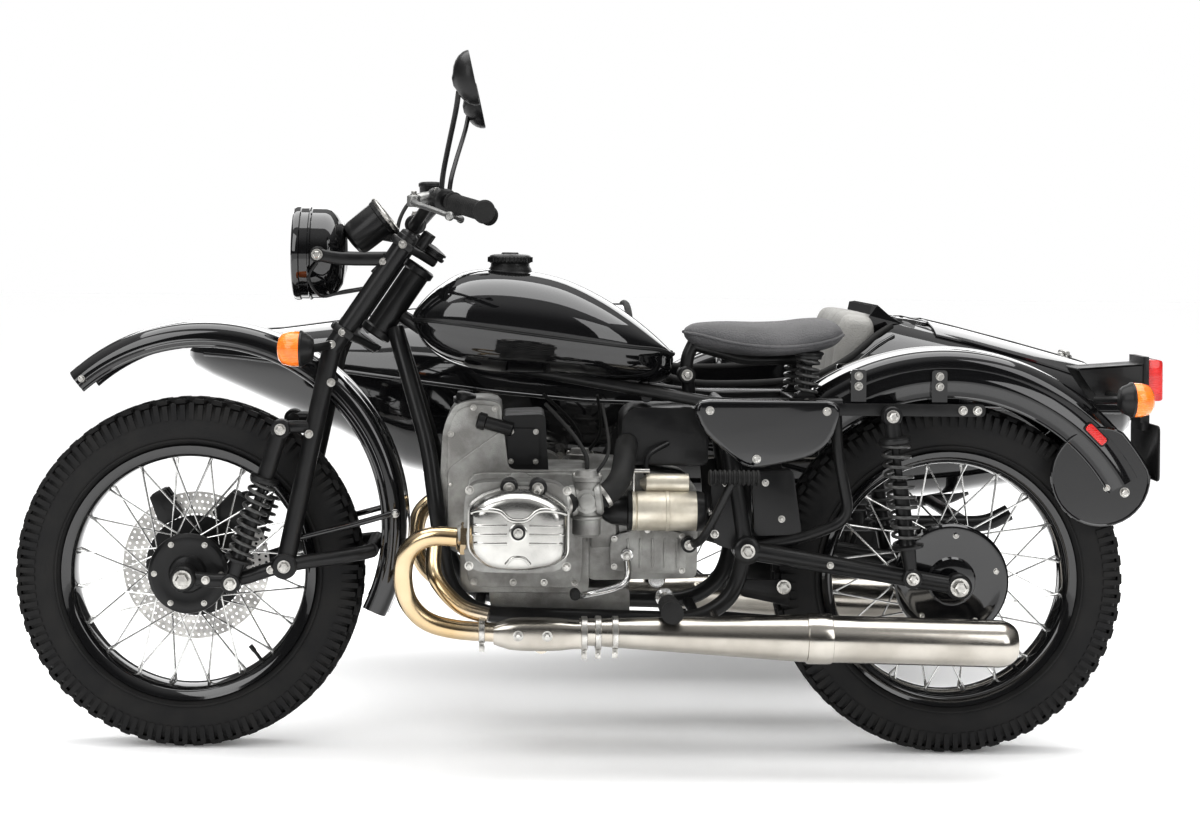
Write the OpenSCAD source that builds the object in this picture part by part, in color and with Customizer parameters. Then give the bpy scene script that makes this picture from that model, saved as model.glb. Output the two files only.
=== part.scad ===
// Motorcycle with a sidecar on its right-hand side.
// +X points forward, +Y to the rider's left, +Z up. The wheels stand on Z = 0.
// Inside, sizes are measured from the point on the floor under the rear axle,
// and place() moves the whole vehicle so that it stands centred on its origin.

/* [Wheels] */
// Distance between the front and rear axles
wheelbase = 1500; // [1495:1:1510]
// Sideways distance from the motorcycle's wheels to the sidecar's wheel
track = 1140; // [1135:1:1160]
// How far the sidecar's wheel sits ahead of the rear axle
wheel_lead = 246; // [235:1:255]
// Outer diameter of each tyre
tyre_d = 690; // [684:2:690]
// Width of each tyre
tyre_w = 105; // [98:1:108]
// Inner diameter of each rim
rim_d = 456; // [450:2:458]
// Spokes in each wheel
spoke_count = 40; // [20:20:40]

/* [Steering] */
// Lean of the steering axis from the vertical
rake = 33.9; // [33.5:0.1:34.3]
// Distance of each fork leg from the centre plane
fork_y = 100; // [98:1:102]
// Radius of the fork legs
fork_r = 19; // [17:0.5:20]

/* [Frame and engine] */
// Radius of the frame's tubes
tube_r = 16; // [14:0.5:17]
// Distance of the lower frame rails from the centre plane
rail_y = 110; // [108:1:112]
// Height of the cylinders' axis above the floor
cylinder_z = 475; // [470:1:480]
// Radius of the exhaust header pipes
header_r = 18; // [16:0.5:20]
// Radius of the mufflers
muffler_r = 44; // [40:1:46]

/* [Bodywork] */
// Thickness of the fenders and the sidecar's panels
sheet = 3; // [2.5:0.5:4]
// Distance of the sidecar body's centre plane from the motorcycle's
car_y = 700; // [695:1:705]
// Radius of the front fender's crown
front_fender_r = 400; // [398:1:404]
// Radius of the rear fender's crown
rear_fender_r = 450; // [446:1:454]
// Radius of the sidecar fender's crown
car_fender_r = 405; // [402:1:410]

/* [Hidden] */
$fn = 48;

paint = [0.02, 0.02, 0.022];
satin_black = [0.06, 0.06, 0.06];
rubber = [0.05, 0.05, 0.05];
cast_alloy = [0.55, 0.55, 0.54];
polished = [0.75, 0.75, 0.74];
steel = [0.68, 0.66, 0.62];
hot_steel = [0.66, 0.52, 0.36];
amber = [0.95, 0.45, 0.05];
red = [0.7, 0.03, 0.03];
seat_cloth = [0.22, 0.21, 0.2];

wheel_r = tyre_d / 2;
rim_r = rim_d / 2;
axle_r = 10;
running_gap = 0.05;
front_axle = [wheelbase, 0, wheel_r];
rear_axle = [0, 0, wheel_r];
car_axle = [wheel_lead, -track, wheel_r];

// The box that the whole vehicle fills, which sets the origin
front_x = wheelbase + wheel_r;
rear_x = -526;
left_y = 462;
right_y = -track - 88;

// Steering head
head = [1043, 0, 961];
stem_r = 14;
stem_low = -205;
fork_ahead = 50;

// Suspension points, on the left-hand side
link_pivot = [1304, 105, 371];
front_shock_low = [1406, 122, 339];
front_shock_top = [1312, 122, 638];
swing_pivot = [409, 130, 412];
rear_shock_low = [92, 138, 362];
rear_shock_top = [133, 138, 674];

// Engine and exhaust
cylinder_x = 850;
muffler_y = 245;
muffler_z = 264;

// Fender centres in the side view
front_fender_c = [1470, 440];
rear_fender_c = [12, 348];

// Sidecar body stations: x, top z, widest z, bottom z, half width
car_stations = [
    [1612, 745, 737, 728, 12], [1595, 768, 738, 706, 48],
    [1549, 784, 738, 682, 95], [1480, 792, 735, 652, 135],
    [1402, 797, 728, 618, 170], [1250, 818, 712, 555, 218],
    [1100, 844, 695, 474, 250], [900, 858, 672, 432, 278],
    [700, 860, 655, 425, 292], [500, 860, 650, 415, 298],
    [250, 858, 650, 415, 298], [0, 846, 650, 420, 290],
    [-150, 812, 645, 432, 276], [-300, 774, 640, 455, 255],
    [-430, 739, 635, 490, 225], [-500, 716, 632, 540, 190],
    [-525, 700, 632, 570, 165]
];
bulkhead_x = -62;
trunk_x = [-430, -95];
trunk_half = 185;
lid_lap = 14;

// Fuel tank stations, in the same order
tank_stations = [
    [1060, 864, 851, 838, 66], [1045, 884, 852, 806, 98],
    [1015, 912, 851, 776, 124], [965, 941, 846, 754, 142],
    [900, 949, 838, 744, 150], [830, 944, 829, 741, 150],
    [760, 928, 820, 737, 144], [690, 896, 811, 731, 130],
    [630, 858, 803, 726, 108], [580, 818, 797, 724, 80],
    [550, 789, 786, 740, 52]
];

// Saddle stations, in the same order
saddle_stations = [
    [524, 834, 826, 816, 22], [495, 844, 824, 802, 48],
    [440, 848, 812, 786, 88], [385, 848, 806, 782, 112],
    [330, 850, 806, 784, 126], [280, 856, 812, 790, 130],
    [240, 855, 820, 800, 118], [218, 842, 826, 814, 84]
];

// The brake hose's route, from the master cylinder down to the caliper
hose_route = [
    [1040, -250, 1092], [1075, -215, 1090], [1100, -172, 1050],
    [1112, -146, 985], [1140, -138, 915], [1180, -138, 840],
    [1212, -136, 760], [1246, -134, 665], [1270, -128, 590],
    [1300, -104, 535], [1335, -80, 505], [1372, -74, 494],
    [1410, -80, 484]
];
hose_r = 4;

function side(p) = [p.x, -p.y, p.z];
function spow(v, e) = sign(v) * pow(abs(v), e);

// One ring of a lofted body; grow moves its skin outward
function ring(s, e, grow, sides) = [
    for (k = [0:sides - 1])
        let (a = 360 * k / sides, c = cos(a), q = sin(a),
             rise = q > 0 ? s[1] - s[2] + grow : s[2] - s[3] + grow)
        [s[0], (s[4] + grow) * spow(c, 2 / e), s[2] + rise * spow(q, 2 / e)]
];

// A closed skin through rings of equal length
module loft_rings(rings) {
    n = len(rings[0]);
    m = len(rings);
    points = [for (r = rings) each r];
    walls = [
        for (i = [0:m - 2], k = [0:n - 1])
            let (a = i * n + k, b = i * n + (k + 1) % n)
            each [[a, b, a + n], [b, b + n, a + n]]
    ];
    caps = [[for (k = [n - 1:-1:0]) k], [for (k = [0:n - 1]) (m - 1) * n + k]];
    polyhedron(points, concat(caps, walls));
}

// A body lofted through stations, its ends moved by grow as well
module loft(stations, e = 2.5, grow = 0, sides = 28) {
    last = len(stations) - 1;
    loft_rings([
        for (i = [0:last])
            let (s = stations[i],
                 dx = i == 0 ? grow : i == last ? -grow : 0)
            ring([s[0] + dx, s[1], s[2], s[3], s[4]], e, grow, sides)
    ]);
}

// Children drawn along +Z, moved to a point and aimed along a direction
module aim(from, v) {
    translate(from)
        rotate([0, acos(v.z / norm(v)), atan2(v.y, v.x)]) children();
}

// Straight round bar between two points
module rod(a, b, r, r2 = -1) {
    aim(a, b - a) cylinder(r1 = r, r2 = r2 < 0 ? r : r2, h = norm(b - a));
}

function unit(v) = v / norm(v);

// The rings of a tube, each slid along the tube onto the next bend's plane
function slid_rings(points, ring, i = 1) =
    i >= len(points) ? [] :
    let (along = unit(points[i] - points[i - 1]),
         next = i < len(points) - 1 ? unit(points[i + 1] - points[i]) : along,
         face = unit(along + next),
         moved = [for (q = ring) q + along * (((points[i] - q) * face) / (along * face))])
    concat([moved], slid_rings(points, moved, i + 1));

// Bent tube through a list of points, with mitred bends
module bent_tube(points, r, sides = 12) {
    along = unit(points[1] - points[0]);
    out = unit(cross(along, abs(along.y) > 0.8 ? [1, 0, 0] : [0, 1, 0]));
    up = cross(along, out);
    first = [
        for (k = [sides - 1:-1:0])
            points[0] + r * (cos(360 * k / sides) * out + sin(360 * k / sides) * up)
    ];
    loft_rings(concat([first], slid_rings(points, first)));
}

// Smooth point at t of 0 to 1 between b and c of four route points
function smooth(a, b, c, d, t) =
    0.5 * (2 * b + (c - a) * t + (2 * a - 5 * b + 4 * c - d) * t * t
        + (3 * b - a - 3 * c + d) * t * t * t);

// Tube along a smooth curve through a route's points
module smooth_tube(route, r, steps = 4, sides = 10) {
    last = len(route) - 1;
    bent_tube(concat(
        [for (i = [0:last - 1], k = [0:steps - 1])
            smooth(route[max(i - 1, 0)], route[i], route[i + 1],
                   route[min(i + 2, last)], k / steps)],
        [route[last]]
    ), r, sides);
}

// Round boss along Y, with its centre given in the side view
module boss(c, r, y0, y1) {
    translate([c.x, max(y0, y1), c.y])
        rotate([90, 0, 0])
            cylinder(r = r, h = abs(y1 - y0));
}

// Flat panel along Y, with its outline given in the side view
module panel(outline, y0, y1) {
    translate([0, max(y0, y1), 0])
        rotate([90, 0, 0])
            linear_extrude(abs(y1 - y0)) polygon(outline);
}

module block(low, high) {
    translate(low) cube(high - low);
}

module both_sides() {
    children();
    mirror([0, 1, 0]) children();
}

// Shape turned about an axis along Y, from one angle to another
module turned(c, y, a0, a1) {
    translate([c.x, y, c.y])
        rotate([90, 0, 0])
            rotate_extrude(angle = a1 - a0, start = a0, $fn = 96)
                children();
}

// Cross-section of a fender: crown, rounded shoulders and side skirts
module fender_section(crown_r, half, skirt, corner = 26) {
    outer = [
        for (a = [0:15:90])
            [crown_r - corner + corner * cos(a), half - corner + corner * sin(a)]
    ];
    inner = [
        for (a = [90:-15:0])
            [crown_r - corner + (corner - sheet) * cos(a),
             half - corner + (corner - sheet) * sin(a)]
    ];
    edge = [[crown_r - skirt, half], [crown_r - skirt, half - sheet]];
    line = concat(outer, edge, inner);
    polygon(concat(line, [for (i = [len(line) - 1:-1:0]) [line[i].x, -line[i].y]]));
}

// Everything in the steering head's own frame: +Z up the stem, +X forward
module steer_frame() {
    translate(head) rotate([0, -rake, 0]) children();
}

function steer_point(p) = head + [
    p.x * cos(rake) - p.z * sin(rake), p.y, p.x * sin(rake) + p.z * cos(rake)
];

module place() {
    translate([-(front_x + rear_x) / 2, -(left_y + right_y) / 2, 0]) children();
}

// Wheels

module wheel_rim(hub_half, flange_r, flange_y) {
    rotate([90, 0, 0]) {
        rotate_extrude($fn = 96)
            polygon([
                [rim_r, -28], [rim_r + 6, -42], [rim_r + 24, -46],
                [rim_r + 24, -41], [rim_r + 13, -37], [rim_r + 13, 37],
                [rim_r + 24, 41], [rim_r + 24, 46], [rim_r + 6, 42], [rim_r, 28]
            ]);
        difference() {
            union() {
                cylinder(r = 34, h = 2 * hub_half, center = true);
                for (s = [-1, 1])
                    translate([0, 0, s * flange_y])
                        cylinder(r = flange_r, h = 9, center = true);
            }
            cylinder(r = axle_r + running_gap, h = 3 * hub_half, center = true);
        }
        // Crossed spokes, half of them pulling each way
        per_side = spoke_count / 4;
        for (s = [-1, 1], way = [-1, 1], i = [0:per_side - 1]) {
            a = 360 * (i + (s > 0 ? 0.5 : 0)) / per_side;
            b = a + way * 46;
            hub_end = [(flange_r - 5) * cos(a), (flange_r - 5) * sin(a), s * flange_y + way * 2];
            rim_end = [(rim_r + 3) * cos(b), (rim_r + 3) * sin(b), s * 10];
            rod(hub_end, rim_end, 2, $fn = 16);
        }
    }
}

module tyre() {
    mid_r = (wheel_r + rim_r + 13) / 2 + 4;
    rotate([90, 0, 0])
        rotate_extrude($fn = 96)
            polygon([
                for (a = [0:12:348])
                    let (c = cos(a), q = sin(a),
                         reach = c > 0 ? wheel_r - mid_r : mid_r - rim_r - 13,
                         width = c > 0 ? tyre_w / 2 : tyre_w / 2 - 6 * abs(c))
                    [mid_r + reach * spow(c, 0.62), width * spow(q, 0.74)]
            ]);
}

module front_wheel() {
    color(satin_black) translate(front_axle) {
        wheel_rim(60, 66, 36);
        rotate([90, 0, 0]) {
            // Hub cover on the left, brake disc and its carrier on the right
            translate([0, 0, -58]) difference() {
                cylinder(r = 79, h = 14);
                translate([0, 0, -1]) cylinder(r = axle_r + running_gap, h = 16);
            }
            translate([0, 0, 56]) difference() {
                cylinder(r = 148, h = 5);
                translate([0, 0, -1]) cylinder(r = 96, h = 7);
            }
            translate([0, 0, 53]) difference() {
                cylinder(r = 100, h = 3.01);
                translate([0, 0, -1]) cylinder(r = axle_r + running_gap, h = 6);
            }
        }
    }
}

module rear_wheel() {
    color(satin_black) translate(rear_axle) {
        wheel_rim(62, 80, 38);
        // Brake drum on the left
        rotate([90, 0, 0]) translate([0, 0, -72]) difference() {
            cylinder(r = 112, h = 28);
            translate([0, 0, -1]) cylinder(r = axle_r + running_gap, h = 30);
        }
    }
}

module sidecar_wheel() {
    color(satin_black) translate(car_axle) {
        wheel_rim(62, 80, 38);
        rotate([90, 0, 0]) translate([0, 0, -66]) difference() {
            cylinder(r = 98, h = 24);
            translate([0, 0, -1]) cylinder(r = axle_r + running_gap, h = 26);
        }
    }
}

module front_tyre() { color(rubber) translate(front_axle) tyre(); }

module rear_tyre() { color(rubber) translate(rear_axle) tyre(); }

module sidecar_tyre() { color(rubber) translate(car_axle) tyre(); }

// Motorcycle frame and engine

module frame() {
    color(satin_black) {
        // Steering head tube
        steer_frame() difference() {
            translate([0, 0, -175]) cylinder(r = 27, h = 165);
            translate([0, 0, -180]) cylinder(r = stem_r + running_gap, h = 180);
        }
        both_sides() {
            // Down tube and lower rail, up to the swingarm's pivot
            bent_tube([
                steer_point([-26, 16, -140]), [1027, 80, 598], [1007, rail_y, 461],
                [985, rail_y, 330], [926, rail_y, 280], [502, rail_y, 272],
                [432, rail_y, 318], [409, rail_y, 412], [455, rail_y - 10, 690]
            ], tube_r);
            // Tank rail and seat rail
            bent_tube([
                steer_point([-26, 16, -112]), [960, 48, 772], [600, 54, 712],
                [455, rail_y - 10, 690], [224, rail_y, 694]
            ], 12);
            // Flat rail that carries the rear fender and the shock
            difference() {
                block([-52, rail_y + 4, 671], [330, rail_y + 12, 697]);
                for (x = [-36, -8])
                    boss([x, 684], 4.25, rail_y, rail_y + 20);
            }
            // Upright from the seat rail down to the swingarm pivot's bracket
            bent_tube([[236, rail_y, 690], [232, rail_y, 600], [206, rail_y, 470]], 11);
            bent_tube([[206, rail_y, 470], [300, rail_y, 432], [409, rail_y, 412]], 11);
            boss([swing_pivot.x, swing_pivot.z], 27, rail_y - 14, rail_y + 8);
            // Shock's upper boss
            boss([rear_shock_top.x, rear_shock_top.z], 13, rail_y + 10, rail_y + 42);
        }
        // Cross tubes
        for (p = [[926, 280], [502, 272], [455, 690], [600, 700]])
            boss(p, 11, -rail_y + (p.y > 650 ? 12 : 0), rail_y - (p.y > 650 ? 12 : 0));
    }
}

module engine_crankcase() {
    color(cast_alloy) {
        block([716, -118, 322], [962, 118, 560]);
        // Timing and alternator housing in front, upper cover behind it
        block([880, -84, 420], [992, 84, 640]);
        translate([880, 0, 600]) rotate([0, 90, 0]) cylinder(r = 80, h = 118);
        translate([880, 0, 455]) rotate([0, 90, 0]) cylinder(r = 96, h = 126);
        block([790, -62, 540], [890, 62, 668]);
        // Oil pan
        block([632, -92, 256], [908, 92, 324]);
        both_sides()
            boss([cylinder_x, cylinder_z], 74, 100, 136);
    }
}

module cylinders() {
    color(cast_alloy)
        both_sides() {
            boss([cylinder_x, cylinder_z], 58, 134, 250);
            for (i = [0:7])
                boss([cylinder_x, cylinder_z], 76, 142 + i * 13, 147 + i * 13);
            block([cylinder_x - 84, 246, cylinder_z - 72],
                  [cylinder_x + 84, 316, cylinder_z + 74]);
            for (i = [0:4])
                block([cylinder_x - 60, 252 + i * 14, cylinder_z + 70],
                      [cylinder_x + 118, 256 + i * 14, cylinder_z + 84 - i * 2]);
        }
}

module rocker_covers() {
    color(polished)
        both_sides()
            hull()
                for (x = [-1, 1], z = [-1, 1]) {
                    boss([cylinder_x + 2 + x * 70, cylinder_z + z * 54], 25, 316, 340);
                    translate([cylinder_x + 2 + x * 56, 368, cylinder_z + z * 42])
                        sphere(r = 26, $fn = 20);
                }
}

module gearbox() {
    color(cast_alloy) {
        block([500, -95, 345], [720, 95, 560]);
        translate([660, 0, 470]) rotate([0, 90, 0]) cylinder(r = 112, h = 56);
        both_sides() block([528, 90, 364], [668, 108, 432]);
        translate([470, -96, 430]) rotate([0, 90, 0]) cylinder(r = 30, h = 60);
    }
}

module starter_motor() {
    color(steel) {
        translate([494, 128, 486]) rotate([0, 90, 0]) cylinder(r = 38, h = 138);
        translate([632, 128, 486]) rotate([0, 90, 0]) cylinder(r = 30, h = 60);
        translate([520, 116, 538]) rotate([0, 90, 0]) cylinder(r = 19, h = 90);
    }
}

module intake() {
    color(satin_black) {
        // Air box above the gearbox
        block([477, -82, 566], [652, 82, 682]);
        both_sides() {
            // Carburettor, its float bowl and its two hoses
            rod([752, 205, 512], [690, 205, 520], 33);
            boss([722, 516], 24, 174, 236);
            rod([722, 205, 500], [722, 205, 452], 27);
            rod([722, 205, 506], [722, 205, 575], 25);
            bent_tube([[785, 262, 508], [765, 236, 510], [735, 205, 514]], 20);
            bent_tube([[700, 205, 520], [656, 180, 560], [640, 78, 610]], 23);
        }
    }
}

module exhaust_headers() {
    color(hot_steel)
        both_sides() {
            smooth_tube([
                [935, 292, 452], [1010, 288, 456], [1052, 280, 432], [1066, 270, 388],
                [1058, 262, 334], [1024, 254, 294], [966, 248, 276], [872, 245, 270]
            ], header_r, 3, 16);
            block([728, 214, 238], [886, 276, 298]);
            rod([740, muffler_y, 268], [664, muffler_y, 272], 26);
        }
    color(hot_steel) rod([806, -220, 240], [806, 220, 240], 14);
}

module mufflers() {
    color(steel)
        both_sides() {
            rod([680, muffler_y, 272], [300, muffler_y, muffler_z], 27, muffler_r);
            rod([312, muffler_y, muffler_z], [262, muffler_y, muffler_z], muffler_r + 3);
            rod([300, muffler_y, muffler_z], [-60, muffler_y, muffler_z], muffler_r);
            rod([-60, muffler_y, muffler_z], [-88, muffler_y, muffler_z], muffler_r, 30);
            // Hanger to the frame's lower rail
            rod([474, muffler_y - 30, 285], [474, rail_y + 4, 290], 8);
        }
}

module fuel_tank() {
    color(paint) {
        difference() {
            loft(tank_stations, 2.6);
            // Tunnel over the frame's rails
            panel([[530, 700], [1080, 700], [1080, 876], [1000, 815], [900, 790], [530, 748]],
                  -67, 67);
        }
        translate([871, 0, 935]) cylinder(r = 42, h = 32);
        translate([871, 0, 965]) cylinder(r = 36, h = 17);
    }
}

// Seat and rear bodywork

module rider_saddle() {
    color(rubber) loft(saddle_stations, 2.6);
}

module saddle_mount() {
    color(satin_black) {
        bent_tube([[512, 0, 704], [520, 0, 770], [500, 0, 818]], 13);
        bent_tube([[500, 0, 800], [400, 0, 772], [300, 0, 775]], 12);
        both_sides() rod([292, 86, 696], [286, 86, 792], 24);
        block([268, -112, 690], [318, 112, 704]);
    }
}

module side_covers() {
    color(paint)
        both_sides()
            panel([
                [522, 706], [505, 646], [424, 576], [400, 570], [290, 594],
                [248, 628], [226, 706]
            ], rail_y + 15, rail_y + 58);
}

module rear_swingarm() {
    color(satin_black) {
        both_sides() {
            rod(swing_pivot, [0, swing_pivot.y - 4, wheel_r], 17);
            boss([swing_pivot.x, swing_pivot.z], 25, 119, 147);
            boss([0, wheel_r], 24, 112, 140);
            boss([rear_shock_low.x, rear_shock_low.z], 14, 120, 150);
        }
        boss([swing_pivot.x, swing_pivot.z], 14, -125, 125);
        boss([0, wheel_r], axle_r, -150, 150);
    }
}

module shock(low, top, spring_r, spring_from, spring_to) {
    v = top - low;
    rod(low, top, 9);
    rod(low + v * spring_from, low + v * spring_to, spring_r);
    rod(low, low + v * (spring_from + 0.02), 15);
    rod(low + v * (spring_to - 0.01), top, 14);
    for (p = [low, top])
        translate(p) rotate([90, 0, 0]) cylinder(r = 19, h = 26, center = true);
}

module rear_shocks() {
    color(satin_black)
        both_sides() shock(rear_shock_low, rear_shock_top, 27, 0.2, 0.86);
}

module final_drive() {
    color(satin_black) {
        // Bevel gear housing on the right of the wheel, with the shaft's tube
        difference() {
            union() {
                boss([0, wheel_r], 92, -82, -106);
                boss([0, wheel_r], 70, -67, -112);
                rod([60, -96, wheel_r + 10], [372, -96, 402], 20);
            }
            boss([0, wheel_r], axle_r + running_gap, -60, -130);
        }
        rod([360, -96, 400], [470, -96, 428], 30);
    }
}

module rear_fender() {
    color(paint) {
        turned(rear_fender_c, 0, 50, 151)
            fender_section(rear_fender_r, 84, 92);
        // Rounded lobe that ends the side skirt behind
        both_sides()
            intersection() {
                boss([-286, 554], 96, 81, 84);
                turned(rear_fender_c, 0, 125, 175)
                    translate([rear_fender_r - 145, -90]) square([144, 180]);
            }
        // Brackets to the frame's flat rails
        both_sides()
            for (x = [32, 190])
                block([x - 12, 81, 676], [x + 12, rail_y + 5, 712]);
    }
}

module rear_lamps() {
    color(red) {
        block([-422, -42, 698], [-387, 42, 782]);
        // Reflector on the fender's left flank, turned to follow its curve
        translate([-276, 0, 637]) rotate([0, 45, 0])
            block([-9, 84, -24], [9, 90, 24]);
    }
    color(satin_black) {
        block([-390, -48, 688], [-378, 48, 788]);
        rod([-384, 0, 764], [-250, 0, 756], 11);
        rod([-312, -14, 710], [-312, 150, 710], 7);
        rod([-384, 0, 710], [-312, 0, 710], 9);
    }
    // One turn signal, on the left: the one on the right is the sidecar's
    color(amber)
        rod([-318, 170, 711], [-361, 170, 711], 33);
    color(satin_black)
        rod([-296, 170, 711], [-319, 170, 711], 30, 33);
}

module plate_holder() {
    color(satin_black)
        difference() {
            union() {
                block([-400, -92, 545], [-396, 92, 655]);
                block([-398, -30, 640], [-378, 30, 700]);
            }
            for (y = [-73, 73])
                translate([-410, y, 630]) rotate([0, 90, 0]) cylinder(r = 3.5, h = 40);
        }
}

module foot_controls() {
    color(satin_black) {
        both_sides() {
            rod([566, rail_y, 316], [566, 250, 322], 9);
            rod([566, 222, 322], [566, 318, 322], 20);
        }
        // Kick lever with its rubber pad
        bent_tube([[520, 100, 420], [498, 168, 440], [452, 206, 540], [440, 214, 562]], 8);
        rod([392, 214, 560], [492, 214, 562], 15);
        // Shift lever on the left, brake pedal on the right
        bent_tube([[640, 106, 398], [646, 150, 350], [720, 170, 330], [742, 214, 338]], 7);
        bent_tube([[600, -106, 398], [606, -140, 340], [712, -160, 322]], 7);
        rod([700, -212, 326], [722, -160, 326], 12);
    }
}

// Sidecar

module sidecar_chassis() {
    color(satin_black) {
        near = -(car_y - 222);
        far = -(car_y + 228);
        for (y = [near, far])
            bent_tube([[1010, y, 420], [930, y, 384], [-190, y, 384], [-240, y, 410]], 18);
        for (x = [880, 575, 95, -150])
            rod([x, near, 381], [x, far, 381], 14);
        // Rubber-topped posts under the body
        for (x = [570, 95], y = [-(car_y - 120), -(car_y + 120)])
            translate([x, y, 384]) cylinder(r = 20, h = 40);
        // Struts to the motorcycle's frame
        rod([990, near, 412], [1054, -58, 690], 13);
        rod([850, near, 387], [926, -rail_y - 2, 282], 15);
        rod([140, near, 386], [444, -rail_y - 2, 312], 15);
        rod([30, near, 388], [232, -rail_y - 2, 640], 12);
        // Wheel arm's pivot
        rod([560, far + 6, 386], [560, -1046, 384], 22);
        // Shock tower beside the body
        bent_tube([[330, far + 5, 388], [330, -1004, 470], [352, -1004, 650]], 13);
    }
}

module car_rim_cut() {
    // Cockpit's outline in the side view: low sides, rising to the cowl and the seat
    outline = [
        [604, 900], [604, 800], [588, 756], [556, 724], [510, 706], [440, 696],
        [300, 700], [200, 716], [128, 752], [94, 776], [60, 800], [20, 820],
        [-38, 830], [-38, 900]
    ];
    panel(outline, -car_y - 400, -car_y + 400);
}

module sidecar_body() {
    color(paint) {
        translate([0, -car_y, 0])
            difference() {
                panel(fairing_outline(0), -158, 158);
                panel(fairing_outline(4), -154, 154);
            }
        difference() {
            translate([0, -car_y, 0])
                union() {
                    difference() {
                        loft(car_stations, 2.7);
                        loft(car_stations, 2.7, -sheet - 1);
                    }
                    // Bulkhead behind the seat, and the cushion's base
                    intersection() {
                        loft(car_stations, 2.7, -1);
                        union() {
                            block([bulkhead_x - sheet, -400, 300], [bulkhead_x, 400, 900]);
                            block([210, -150, 400], [510, 150, 464]);
                        }
                    }
                }
            car_rim_cut();
            block([trunk_x[0], -car_y - trunk_half, 690],
                  [trunk_x[1], -car_y + trunk_half, 900]);
        }
    }
}

// Outline of the fairing behind the seat, shrunk by inset
function fairing_outline(inset) = [
    [91 - inset, 560], [62 - inset, 842], [57 - inset, 864 - inset], [44, 866 - inset],
    [10, 837 - inset], [-42 + inset, 832 - inset], [-42 + inset, 560]
];

module sidecar_trunk_lid() {
    color(paint)
        translate([0, -car_y, 0])
            intersection() {
                difference() {
                    loft(car_stations, 2.7, 5);
                    loft(car_stations, 2.7, 1.5);
                }
                block([trunk_x[0] - lid_lap, -trunk_half - lid_lap, 690],
                      [trunk_x[1] + lid_lap, trunk_half + lid_lap, 900]);
            }
}

module sidecar_seat_cushion() {
    color(seat_cloth)
        translate([0, -car_y, 0])
            hull()
                for (x = [205, 490], y = [-190, 190], z = [490, 560])
                    translate([x, y, z]) sphere(r = 24, $fn = 20);
}

module sidecar_seat_back() {
    color(seat_cloth)
        translate([0, -car_y, 0])
            hull()
                for (p = [[118, 190, 610], [150, 190, 606], [86, 126, 836], [100, 126, 834]])
                    for (way = [-1, 1])
                        translate([p.x, way * p.y, p.z]) sphere(r = 22, $fn = 20);
}

module sidecar_suspension() {
    color(satin_black) {
        arm_y = -1040;
        rod([560, arm_y, 384], [wheel_lead, arm_y, wheel_r], 17);
        translate([560, arm_y, 384]) rotate([90, 0, 0])
            cylinder(r = 30, h = 30, center = true);
        boss([wheel_lead, wheel_r], 26, arm_y - 18, arm_y + 18);
        boss([wheel_lead, wheel_r], axle_r, arm_y, -track - 74);
        shock([306, arm_y + 2, 376], [352, arm_y + 2, 645], 25, 0.2, 0.86);
    }
}

module sidecar_fender() {
    color(paint) {
        turned([wheel_lead, wheel_r], -track, 8, 172)
            fender_section(car_fender_r, 85, 62);
        // Stays from the fender to the body's side and the shock's tower
        rod([352, -1004, 655], [352, -1057, 716], 8);
        for (a = [30, 150])
            translate([wheel_lead + (car_fender_r - 20) * cos(a), 0,
                       wheel_r + (car_fender_r - 20) * sin(a)])
                rotate([90, 0, 0]) translate([0, 0, car_y + 270])
                    cylinder(r = 8, h = track - car_y - 270 - 82);
    }
}

module sidecar_lamps() {
    color(amber) rod([560, -track, 612], [596, -track, 612], 28);
    color(satin_black) rod([532, -track, 612], [561, -track, 612], 24, 28);
    color(red) block([-196, -track - 36, 480], [-172, -track + 36, 548]);
    color(satin_black) block([-174, -track - 38, 470], [-140, -track + 38, 552]);
}

// Steering and front end

module fork() {
    color(satin_black) {
        steer_frame() {
            translate([0, 0, stem_low]) cylinder(r = stem_r, h = 245);
            for (z = [-203, 2])
                translate([0, 0, z]) {
                    linear_extrude(16) union() {
                        circle(r = 30);
                        polygon([[-20, -24], [30, -fork_y - 4], [68, -fork_y - 4],
                                 [68, fork_y + 4], [30, fork_y + 4], [-20, 24]]);
                        for (s = [-1, 1])
                            translate([fork_ahead, s * fork_y]) circle(r = 28);
                    }
                }
            // Steering damper's knob on top of the stem
            translate([0, 0, 18]) cylinder(r = 24, h = 20);
            // Risers for the handlebar
            for (y = [-44, 44])
                translate([22, y, 16]) cylinder(r = 12, h = 38);
        }
        both_sides() {
            bent_tube([
                steer_point([fork_ahead, fork_y, 36]),
                steer_point([fork_ahead, fork_y, -238]),
                [link_pivot.x, fork_y, link_pivot.z]
            ], fork_r);
            boss([link_pivot.x, link_pivot.z], 24, 84, 122);
            // Bracket to the shock's upper eye
            rod([1250, fork_y, 645], front_shock_top, 11);
            boss([front_shock_top.x, front_shock_top.z], 9, 100, 134);
        }
    }
}

module leading_link() {
    color(satin_black) {
        both_sides() {
            bent_tube([
                [wheelbase, 105, wheel_r], [1406, 105, 341], link_pivot,
                [1175, 98, 391], [1137, 84, 398]
            ], 14);
            boss([wheelbase, wheel_r], 24, 84, 126);
            boss([front_shock_low.x, front_shock_low.z], 12, 96, 136);
        }
        boss([1137, 398], 14, -84, 84);
        boss([wheelbase, wheel_r], axle_r, -132, 132);
        // Brake caliper astride the disc, with its bracket
        difference() {
            translate([wheelbase, 0, wheel_r]) rotate([0, 56, 0])
                block([-166, -92, -34], [-105, -43, 34]);
            boss([wheelbase, wheel_r], 152, -53, -64);
        }
        rod([1398, -84, 400], [1402, -105, 350], 11);
    }
}

module front_shocks() {
    color(satin_black)
        both_sides() shock(front_shock_low, front_shock_top, 25, 0.14, 0.62);
}

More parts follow.
